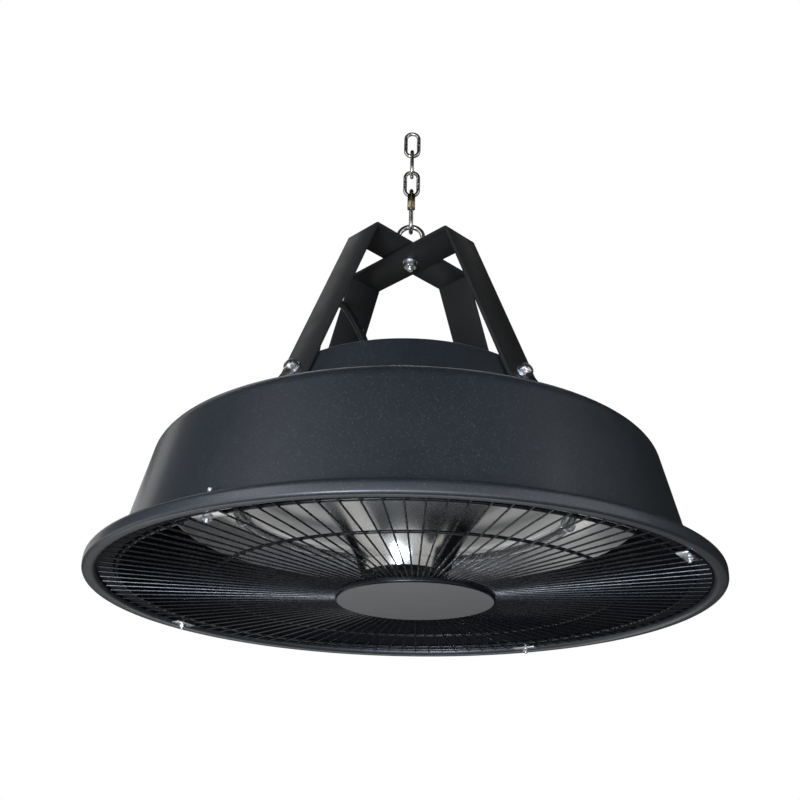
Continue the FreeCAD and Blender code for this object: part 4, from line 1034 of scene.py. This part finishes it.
class HEATER_OT_eye_bolt(HeaterOperator, bpy.types.Operator):
    """Forged eye bolt with its washer and nut under the crossing"""

    bl_idname = "heater.eye_bolt"
    bl_label = "Eye bolt"

    def execute(self, context):
        size, bracket = context.scene.heater_chain, context.scene.heater_bracket
        low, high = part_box("eye_bolt")
        middle = high.z - size.eye_outer / 2
        reach = (size.eye_outer - size.eye_wire) / 2
        circle = [(reach * math.cos(turn), 0, middle + reach * math.sin(turn)) for turn in around(72)]
        ring = bent_bars("eye_ring", [circle], size.eye_wire / 2, finish_for("polished_steel"), closed=True,
                         sides=20)
        seat = middle - size.eye_outer / 2
        foot = seat - size.collar
        thread = bracket.thread / 2
        profile = [(0, low.z), (thread - 0.8 * MM, low.z)]
        profile += threaded(thread, low.z + 0.6 * MM, foot - 2 * bracket.thickness, 1.25 * MM)
        # A collar with a rounded brim, and a neck that runs up into the ring
        brim, neck, root = foot + 3.4 * MM, foot + 6 * MM, seat + 1.4 * MM
        profile += rounded([(thread, foot), (size.collar, foot), (size.collar, brim), (4.6 * MM, neck),
                            (4 * MM, root)], {1: 0.8 * MM, 2: 1.2 * MM, 3: 2 * MM}, 4)
        profile.append((0, root + 0.2 * MM))
        shank = turned("eye_shank", profile, steps=48)
        fit(joined("eye_bolt_forged", ring, shank), "polished_steel", "eye_bolt")

        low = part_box("eye_washer")[0]
        washer = turned("eye_washer_ring", washer_profile(bracket, 0), steps=64, closed=True,
                        place=Matrix.Translation((0, 0, low.z)))
        fit(washer, "zinc_steel", "eye_washer")
        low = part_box("eye_nut")[0]
        profile = nut_profile(bracket.nut_across, bracket.nut_height, thread + 0.1 * MM)
        nut = turned("eye_nut_hex", profile, steps=72, closed=True, across=bracket.nut_across,
                     place=Matrix.Translation((0, 0, low.z)) @ Matrix.Rotation(math.pi / 6, 4, "Z"))
        fit(nut, "zinc_steel", "eye_nut")
        return {"FINISHED"}


class HEATER_OT_bracket(HeaterOperator, bpy.types.Operator):
    """Two flat bars bent to arches that cross under the eye bolt"""

    bl_idname = "heater.bracket"
    bl_label = "Bracket"

    def execute(self, context):
        size, shade = context.scene.heater_bracket, context.scene.heater_shade
        flank = flank_of(shade)[0]
        slant = math.hypot(1, flank)

        def inner_reach(level):
            return shade.cap_base - shade.cap_lean + size.gap + (shade.cap_level - level) * flank

        for name, node, underside, turn in (
            ("strap_lower_bar", "strap_lower", size.level, -QUARTER / 2),
            ("strap_upper_bar", "strap_upper", size.level + size.thickness, QUARTER / 2),
        ):
            foot = size.bolt_level - size.foot / slant
            top = underside + size.thickness
            across = size.thickness / slant
            inner = [(0, underside), (inner_reach(underside), underside), (inner_reach(foot), foot)]
            outer = [(0, top), (inner_reach(top) + size.thickness * slant, top),
                     (inner_reach(foot) + across, foot + across * flank)]
            inner_line = rounded(inner, {1: size.bend}, 6)
            outer_line = rounded(outer, {1: size.bend + size.thickness}, 6)
            stations = [(a, b, size.width / 2) for a, b in zip(inner_line, outer_line)][:-1]
            down = (inner_line[-1] - inner_line[-2]).normalized()
            # Round the foot's corners the bar narrows, with stations closer together towards its end
            for share in (1, 0.8, 0.6, 0.42, 0.27, 0.15, 0.07, 0.02, 0):
                left = size.foot_round * share
                cut_in = size.foot_round - math.sqrt(size.foot_round ** 2 - (size.foot_round - left) ** 2)
                stations.append((inner_line[-1] - down * left, outer_line[-1] - down * left,
                                 size.width / 2 - cut_in))
            other_leg = [(Vector((-a.x, a.y)), Vector((-b.x, b.y)), half) for a, b, half in stations[:0:-1]]
            bm = bmesh.new()
            rings = []
            for a, b, half in other_leg + stations:
                corners = ((a, -half), (a, half), (b, half), (b, -half))
                rings.append([bm.verts.new((spot.x, y, RIM + spot.y)) for spot, y in corners])
            for first, second in zip(rings, rings[1:]):
                bridge(bm, first, second)
            bm.faces.new(rings[0])
            bm.faces.new(rings[-1])
            bmesh.ops.recalc_face_normals(bm, faces=bm.faces)
            sharp = [edge for edge in bm.edges if edge.calc_face_angle(0) > math.radians(50)]
            bmesh.ops.bevel(bm, geom=sharp, offset=size.edge, segments=2, affect="EDGES", profile=0.5)
            bmesh.ops.rotate(bm, verts=bm.verts, matrix=Matrix.Rotation(turn, 3, "Z"))
            fit(from_bmesh(name, bm), "bracket_paint", node)
        return {"FINISHED"}


class HEATER_OT_leg_fasteners(HeaterOperator, bpy.types.Operator):
    """Washers and domed cap nuts at the four legs"""

    bl_idname = "heater.leg_fasteners"
    bl_label = "Leg fasteners"

    def execute(self, context):
        size, shade = context.scene.heater_bracket, context.scene.heater_shade
        place = square_to_flank(shade, size)
        seat = size.gap + size.thickness
        zinc = finish_for("zinc_steel")
        washer = turned("leg_washer_rings", washer_profile(size, seat), steps=48, closed=True, place=place)
        fit(ring_of(washer, 4, QUARTER / 2, QUARTER, zinc), "zinc_steel", "leg_washers")

        foot = seat + size.washer
        hexagon = foot + size.nut_height
        corner = corner_of(size.nut_across)
        flat = size.nut_across / 2
        skirt = flat - 0.3 * MM
        profile = [(size.thread / 2, foot), (flat, foot), (corner, foot + 0.5 * MM),
                   (corner, hexagon - 0.7 * MM), (flat, hexagon - 0.1 * MM), (skirt, hexagon)]
        steps = 10
        for step in range(1, steps + 1):
            angle = QUARTER * step / steps
            profile.append((skirt * math.cos(angle), hexagon + size.dome * math.sin(angle)))
        profile[-1] = (0, hexagon + size.dome)
        nut = turned("leg_cap_nut_domes", profile, steps=72, across=size.nut_across, place=place)
        fit(ring_of(nut, 4, QUARTER / 2, QUARTER, zinc), "zinc_steel", "leg_cap_nuts")
        return {"FINISHED"}


class HEATER_OT_shade(HeaterOperator, bpy.types.Operator):
    """Spun dish with its rolled rim, and the conical cap on it"""

    bl_idname = "heater.shade"
    bl_label = "Dish and cap"

    def execute(self, context):
        size = context.scene.heater_shade
        roll = size.rim_radius - size.rim_width
        wall = roll - size.flange_width
        shoulder = wall - size.wall_lean
        sheet = size.sheet
        under = size.flange_level - sheet
        points = [
            (size.crown_radius, size.crown_level), (shoulder, size.shoulder_level), (wall, size.flange_level),
            (roll, size.flange_level), (roll, size.rim_height), (size.rim_radius, size.rim_height),
            (size.rim_radius, 0), (roll, 0), (roll, under - size.rim_slit),
            (roll + sheet, under - size.rim_slit), (roll + sheet, sheet), (size.rim_radius - sheet, sheet),
            (size.rim_radius - sheet, size.rim_height - sheet), (roll + sheet, size.rim_height - sheet),
            (roll + sheet, under), (wall - sheet, under), (shoulder - sheet, size.shoulder_level - sheet),
            (size.crown_radius, size.crown_level - sheet),
        ]
        wall_foot, roll_foot = 2 * MM, 1.5 * MM
        # A corner inside the sheet is as far from the list's end as the one outside is from its start
        last = len(points) - 1
        radii = {1: size.shoulder_round, last - 1: size.shoulder_round - sheet, 2: wall_foot, 3: roll_foot}
        for corner, turn in ((4, size.rim_round), (5, size.rim_bead), (6, size.rim_foot), (7, size.rim_hem)):
            radii[corner] = turn
            radii[last - corner] = turn - sheet
        dish = turned("dish_spun", rounded(points, radii, 8), steps=288, closed=True, place=LIFT)
        # The inside is painted shade: a near-black matt coat on the faces that look inwards
        dish.data.materials.append(finish_for("shade_paint"))
        dish.data.materials.append(finish_for("painted_shade_inside"))
        for face in dish.data.polygons:
            outward = face.normal.dot(face.center.xy.to_3d().normalized())
            inside = face.center.xy.length < roll + sheet and face.center.z > RIM + under - size.rim_slit
            if inside and outward < 0.1 and face.normal.z < 0.1:
                face.material_index = 1
        fit(dish, "shade_paint", "dish")

        flank, base, top_slope = flank_of(size)
        slant = math.hypot(1, flank)
        top = size.cap_base - size.cap_lean
        lip = size.cap_base - size.cap_lip
        lip_level = base + size.cap_lip * top_slope
        inset = sheet * (slant + flank) / (1 - top_slope * flank)
        points = [
            (0, size.cap_level), (top, size.cap_level), (size.cap_base, base), (lip, lip_level),
            (lip, lip_level + sheet), (size.cap_base - inset, base + sheet + inset * top_slope),
            (top + sheet * flank - sheet * slant, size.cap_level - sheet), (0, size.cap_level - sheet),
        ]
        radii = {1: size.cap_round, 6: size.cap_round - sheet, 2: 1.6 * MM}
        cap = turned("top_cap_spun", rounded(points, radii, 6), steps=256, place=LIFT)
        fit(cap, "shade_paint", "top_cap")
        return {"FINISHED"}


class HEATER_OT_reflector(HeaterOperator, bpy.types.Operator):
    """Spun reflector pan with its cone, and the hub cup at the cone's foot"""

    bl_idname = "heater.reflector"
    bl_label = "Reflector"

    def execute(self, context):
        size = context.scene.heater_lamp
        sheet = size.sheet
        bend = size.pan_radius - size.pan_flare
        # Up to where the rounding under the ring takes over
        bell = []
        for share in (0, 0.08, 0.16, 0.24, 0.32, 0.4, 0.48, 0.56, 0.66, 0.78):
            reach = size.hub_radius + (size.cone_radius - size.hub_radius) * share ** size.cone_flare
            bell.append((reach, size.hub_level + (size.pan_level - size.hub_level) * share))
        points = [(size.pan_radius, size.pan_edge), (bend, size.pan_level),
                  (size.cone_radius, size.pan_level)]
        points += bell[::-1] + [(reach - sheet, level) for reach, level in bell]
        shoulder = len(points)
        points += [(size.cone_radius - sheet, size.pan_level + sheet), (bend + sheet, size.pan_level + sheet),
                   (size.pan_radius + sheet, size.pan_edge)]
        radii = {1: size.pan_round, 2: size.pan_round,
                 shoulder: size.pan_round + sheet, shoulder + 1: size.pan_round + sheet}
        pan = turned("reflector_pan_spun", rounded(points, radii, 14), steps=256, closed=True, place=LIFT)
        fit(pan, "mirror_finish", "reflector_pan")

        neck = size.hub_radius - sheet - 0.3 * MM
        lean = (neck - size.hub_floor_radius) / (size.hub_level - size.hub_floor)
        mouth_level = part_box("reflector_hub")[1].z - RIM
        mouth = neck + (mouth_level - size.hub_level) * lean
        points = [
            (0, size.hub_floor), (size.hub_floor_radius, size.hub_floor), (mouth, mouth_level),
            (mouth - sheet, mouth_level), (size.hub_floor_radius - sheet, size.hub_floor + sheet),
            (0, size.hub_floor + sheet),
        ]
        radii = {1: 1.6 * MM, 4: 1.6 * MM - sheet}
        hub = turned("reflector_hub_cup", rounded(points, radii, 5), steps=160, place=LIFT)
        fit(hub, "mirror_finish", "reflector_hub")
        return {"FINISHED"}


class HEATER_OT_lamp(HeaterOperator, bpy.types.Operator):
    """Ring lamp: quartz tube, braided carbon strand and wire clips"""

    bl_idname = "heater.lamp"
    bl_label = "Ring lamp"

    def execute(self, context):
        size = context.scene.heater_lamp
        start = -QUARTER + size.opening / 2
        sweep = 2 * math.pi - size.opening
        level = RIM + size.ring_level

        def spot(angle, out, up):
            reach = size.ring_radius + out
            return (reach * math.cos(angle), reach * math.sin(angle), level + up)

        bm = bmesh.new()
        along, sides = 240, 20
        walls = []
        for radius in (size.tube, size.tube - size.wall):
            rows = []
            for step in range(along + 1):
                angle = start + sweep * step / along
                rows.append([bm.verts.new(spot(angle, radius * math.cos(turn), radius * math.sin(turn)))
                             for turn in around(sides)])
            walls.append(rows)
            for first, second in zip(rows, rows[1:]):
                bridge(bm, first, second)
        for end in (0, -1):
            bridge(bm, walls[0][end], walls[1][end])
        fit(from_bmesh("quartz_ring", bm), "quartz", "quartz_tube")

        yarns = []
        turns = int(sweep * size.ring_radius / size.twist)
        each = 10
        count = 10
        crossings = 5
        for yarn in range(count):
            hand = 1 if yarn % 2 else -1
            path = []
            for step in range(turns * each + 1):
                share = step / (turns * each)
                twist = hand * 2 * math.pi * (turns * share + yarn / count)
                # Yarns of the two hands pass over and under each other
                swing = size.strand - size.yarn - 0.5 * size.yarn * (1 + hand * math.sin(crossings * twist))
                path.append(spot(start + sweep * share, swing * math.cos(twist), swing * math.sin(twist)))
            yarns.append(path)
        braid = bent_bars("carbon_braid", yarns, size.yarn, finish_for("carbon"), sides=5)
        fit(braid, "carbon", "carbon_strand")

        loop = size.tube + 1.3 * MM
        zinc, wire = finish_for("zinc_steel"), 1 * MM
        path = [(size.ring_radius, 0, RIM + size.pan_level - 0.2 * MM)]
        path += [(size.ring_radius + loop * math.sin(turn), 0, level + loop * math.cos(turn))
                 for turn in around(28)]
        clip = bent_bars("lamp_clip_wires", [path], wire, zinc, sides=10)
        first, step = math.radians(8), math.radians(82)
        clips = ring_of(clip, 3, first, step, zinc)
        fit(clips, "zinc_steel", "lamp_clips")
        return {"FINISHED"}


class HEATER_OT_guard(HeaterOperator, bpy.types.Operator):
    """Welded guard: radial wires, two rings and the plate in the middle"""

    bl_idname = "heater.guard"
    bl_label = "Guard"

    def execute(self, context):
        size = context.scene.heater_guard
        aside = Matrix.Translation((size.shift, 0, RIM))
        black = finish_for("guard_black")
        slope = (size.outer_level - size.inner_level) / (size.outer - size.inner)
        spokes = []
        for angle in around(size.wires):
            across = Vector((math.cos(angle), math.sin(angle), slope))
            # From the hub, which is off the middle, out to the round edge
            reach = math.sqrt(size.outer ** 2 - (size.shift * across.y) ** 2) - size.shift * across.x
            foot = Vector((size.shift, 0, RIM + size.inner_level - size.inner * slope))
            spokes.append([foot + across * size.inner, foot + across * reach])
        wires = bent_bars("guard_wire_spokes", spokes, size.wire / 2, black, sides=10)
        fit(wires, "guard_black", "guard_wires")

        for name, node, radius, thick, shift in (
            ("guard_mid_hoop", "guard_mid_ring", size.mid_ring, size.mid_wire, size.shift),
            ("guard_edge_hoop", "guard_outer_ring", size.edge_ring, size.edge_wire, 0),
        ):
            low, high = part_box(node)
            level = (low.z + high.z) / 2
            path = [(shift + radius * math.cos(turn), radius * math.sin(turn), level) for turn in around(180)]
            fit(bent_bars(name, [path], thick / 2, black, closed=True, sides=12), "guard_black", node)

        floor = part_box("guard_disc")[0].z - RIM
        edge, sheet = floor + size.disc_depth, size.disc_sheet
        points = [(0, floor), (size.disc, floor), (size.disc, edge), (size.disc - sheet, edge),
                  (size.disc - sheet, floor + sheet), (0, floor + sheet)]
        disc = turned("guard_plate", rounded(points, {1: 2.2 * MM, 4: 1.0 * MM}, 5), steps=160, place=aside)
        # The plate's side is dipped black with the wires, its face is grey
        disc.data.materials.append(finish_for("guard_grey"))
        disc.data.materials.append(black)
        side = size.disc - 1.6 * MM
        for face in disc.data.polygons:
            if math.hypot(face.center.x - size.shift, face.center.y) > side:
                face.material_index = 1
        fit(disc, "guard_grey", "guard_disc")
        return {"FINISHED"}


def in_gaps(item, size):
    """Copies of a rim clip's piece, each midway between two guard wires."""
    return through_tree(item, tree_named("Copies in gaps"), first_angle=size.clip_angle,
                        gap_angle=2 * math.pi / size.wires, off_middle=size.shift / size.screw_radius,
                        material=finish_for("zinc_steel"))


class HEATER_OT_rim_clips(HeaterOperator, bpy.types.Operator):
    """Rim clips with their screws, spacers and nuts"""

    bl_idname = "heater.rim_clips"
    bl_label = "Rim clips"

    def execute(self, context):
        size = context.scene.heater_guard
        low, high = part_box("rim_clips")
        half = size.clip_long / 2
        strip = block("rim_clip_strips", (size.clip_radius - size.clip_wide / 2, -half, low.z),
                      (size.clip_radius + size.clip_wide / 2, half, high.z), 0.4 * MM)
        fit(in_gaps(strip, size), "zinc_steel", "rim_clips")

        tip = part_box("rim_clip_screws")[1].z
        seat = low.z
        spot = Matrix.Translation((size.screw_radius, 0, 0))
        washer = seat - 0.8 * MM
        nut_foot = washer - 2.6 * MM
        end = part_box("guard_disc")[0].z + 0.2 * MM
        screw, edge, across = size.screw, size.screw_washer, size.screw_nut
        profile = rounded([(0, end), (screw, end), (screw, washer), (edge, washer), (edge, seat),
                           (screw, seat)], {1: 0.8 * MM, 3: 0.2 * MM, 4: 0.2 * MM}, 3)
        profile += threaded(screw, seat + 0.3 * MM, tip - 0.6 * MM, 1.4 * MM)
        profile += [(screw - 0.6 * MM, tip), (0, tip)]
        shank = turned("rim_clip_screw_shanks", profile, steps=32, place=spot)
        profile = nut_profile(across, washer - nut_foot, screw, size.nut_chamfer)
        nut = turned("rim_clip_lower_nuts", profile, steps=48, closed=True, across=across,
                     place=Matrix.Translation((size.screw_radius, 0, nut_foot)))
        fit(in_gaps(joined("rim_clip_screw_heads", shank, nut), size), "zinc_steel", "rim_clip_screws")

        low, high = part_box("rim_clip_nuts")
        profile = nut_profile(across, high.z - low.z, screw + 0.1 * MM, size.nut_chamfer)
        nut = turned("rim_clip_hex_nuts", profile, steps=48, closed=True, across=across,
                     place=Matrix.Translation((size.screw_radius, 0, low.z)))
        fit(in_gaps(nut, size), "zinc_steel", "rim_clip_nuts")

        low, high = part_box("rim_clip_spacers")
        bore, tube = screw + 0.2 * MM, screw + 0.9 * MM
        profile = rounded([(bore, low.z), (tube, low.z), (tube, high.z), (bore, high.z)],
                          {1: 0.2 * MM, 2: 0.2 * MM}, 2)
        spacer = turned("rim_clip_tubes", profile, steps=32, closed=True, place=spot)
        fit(in_gaps(spacer, size), "zinc_steel", "rim_clip_spacers")
        return {"FINISHED"}


class HEATER_OT_gland(HeaterOperator, bpy.types.Operator):
    """Cable gland on the cap: hexagon, domed nut and ringed rubber sleeve"""

    bl_idname = "heater.gland"
    bl_label = "Cable gland"

    def execute(self, context):
        size = context.scene.heater_cord
        low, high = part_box("gland_nut")
        spot = Matrix.Translation(((low.x + high.x) / 2, (low.y + high.y) / 2, 0))
        bore, thread, across = size.gland_bore, size.gland_thread, size.gland
        body_low, body_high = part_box("gland_body")
        flat, corner = across / 2, corner_of(across)
        lead_in, chamfer = 0.6 * MM, 0.8 * MM
        profile = [(bore, body_low.z), (thread - lead_in, body_low.z), (thread, body_low.z + lead_in),
                   (thread, CAP_TOP), (flat, CAP_TOP), (corner, CAP_TOP + chamfer),
                   (corner, body_high.z - chamfer), (flat, body_high.z), (bore, body_high.z)]
        body = turned("gland_hexagon", profile, steps=72, closed=True, across=across, place=spot)
        fit(body, "gland_plastic", "gland_body")

        profile = rounded([(bore, low.z), (flat, low.z), (flat - 0.4 * MM, low.z + 4 * MM), (thread, high.z),
                           (bore, high.z)], {1: 0.4 * MM, 2: 3 * MM, 3: 1.2 * MM}, 5)
        nut = turned("gland_dome_nut", profile, steps=96, closed=True, place=spot)
        fit(nut, "gland_plastic", "gland_nut")

        low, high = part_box("gland_boot")
        rings = 6
        tall = (high.z - low.z) / rings
        groove, mouth = 0.9 * MM, 5.2 * MM
        profile = [(bore, low.z)]
        for ring in range(rings):
            radius = size.boot - size.boot_taper * ring / rings
            level = low.z + tall * ring
            profile += [(radius, level), (radius, level + 0.62 * tall), (radius - groove, level + 0.7 * tall),
                        (radius - groove, level + 0.95 * tall)]
        profile += [(mouth, high.z), (bore, high.z)]
        boot = turned("gland_sleeve", profile, steps=64, closed=True, place=spot)
        fit(boot, "cord_rubber", "gland_boot")
        return {"FINISHED"}


class HEATER_OT_inner_parts(HeaterOperator, bpy.types.Operator):
    """Finishes for the plug, its pins, the tie and what is inside the shade"""

    bl_idname = "heater.inner_parts"
    bl_label = "Plug and inner parts"

    def execute(self, context):
        slots = {entry["node"]: entry["material_slot"] for entry in frame["record"]["subparts"]}
        for node in ("plug_body", "plug_pins", "coil_tie", "gland_locknut", "leg_bolts", "cap_screws",
                     "cap_nuts", "reflector_posts", "lamp_ends", "terminal_block", "lamp_leads"):
            mesh = frame["nodes"][node].data
            mesh.materials.clear()
            mesh.materials.append(finish_for(slots[node]))
        return {"FINISHED"}


PROPERTY_GROUPS = {
    "heater_shade": ShadeSizes, "heater_bracket": BracketSizes, "heater_chain": ChainSizes,
    "heater_lamp": LampSizes, "heater_guard": GuardSizes, "heater_cord": CordSizes,
    "heater_finishes": Finishes,
}
OPERATORS = (
    HEATER_OT_stage, HEATER_OT_cord, HEATER_OT_chain, HEATER_OT_screw_link, HEATER_OT_eye_bolt,
    HEATER_OT_bracket, HEATER_OT_leg_fasteners, HEATER_OT_shade, HEATER_OT_reflector, HEATER_OT_lamp,
    HEATER_OT_guard, HEATER_OT_rim_clips, HEATER_OT_gland, HEATER_OT_inner_parts,
)


class HEATER_PT_panel(bpy.types.Panel):
    """Sizes, colours and steps of the heater"""

    bl_idname = "HEATER_PT_panel"
    bl_label = "Patio heater"
    bl_space_type = "VIEW_3D"
    bl_region_type = "UI"
    bl_category = "Heater"

    def draw(self, context):
        for operator in OPERATORS:
            self.layout.operator(operator.bl_idname)
        for name, group in PROPERTY_GROUPS.items():
            box = self.layout.box()
            for field in group.__annotations__:
                box.prop(getattr(context.scene, name), field)


def register():
    for name, group in PROPERTY_GROUPS.items():
        bpy.utils.register_class(group)
        setattr(bpy.types.Scene, name, bpy.props.PointerProperty(type=group))
    for operator in OPERATORS:
        bpy.utils.register_class(operator)
    bpy.utils.register_class(HEATER_PT_panel)


def unregister():
    bpy.utils.unregister_class(HEATER_PT_panel)
    for operator in reversed(OPERATORS):
        bpy.utils.unregister_class(operator)
    for name, group in PROPERTY_GROUPS.items():
        delattr(bpy.types.Scene, name)
        bpy.utils.unregister_class(group)


def main():
    register()
    for operator in OPERATORS:
        family, step = operator.bl_idname.split(".")
        getattr(getattr(bpy.ops, family), step)()
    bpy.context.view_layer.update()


if __name__ == "__main__":
    main()
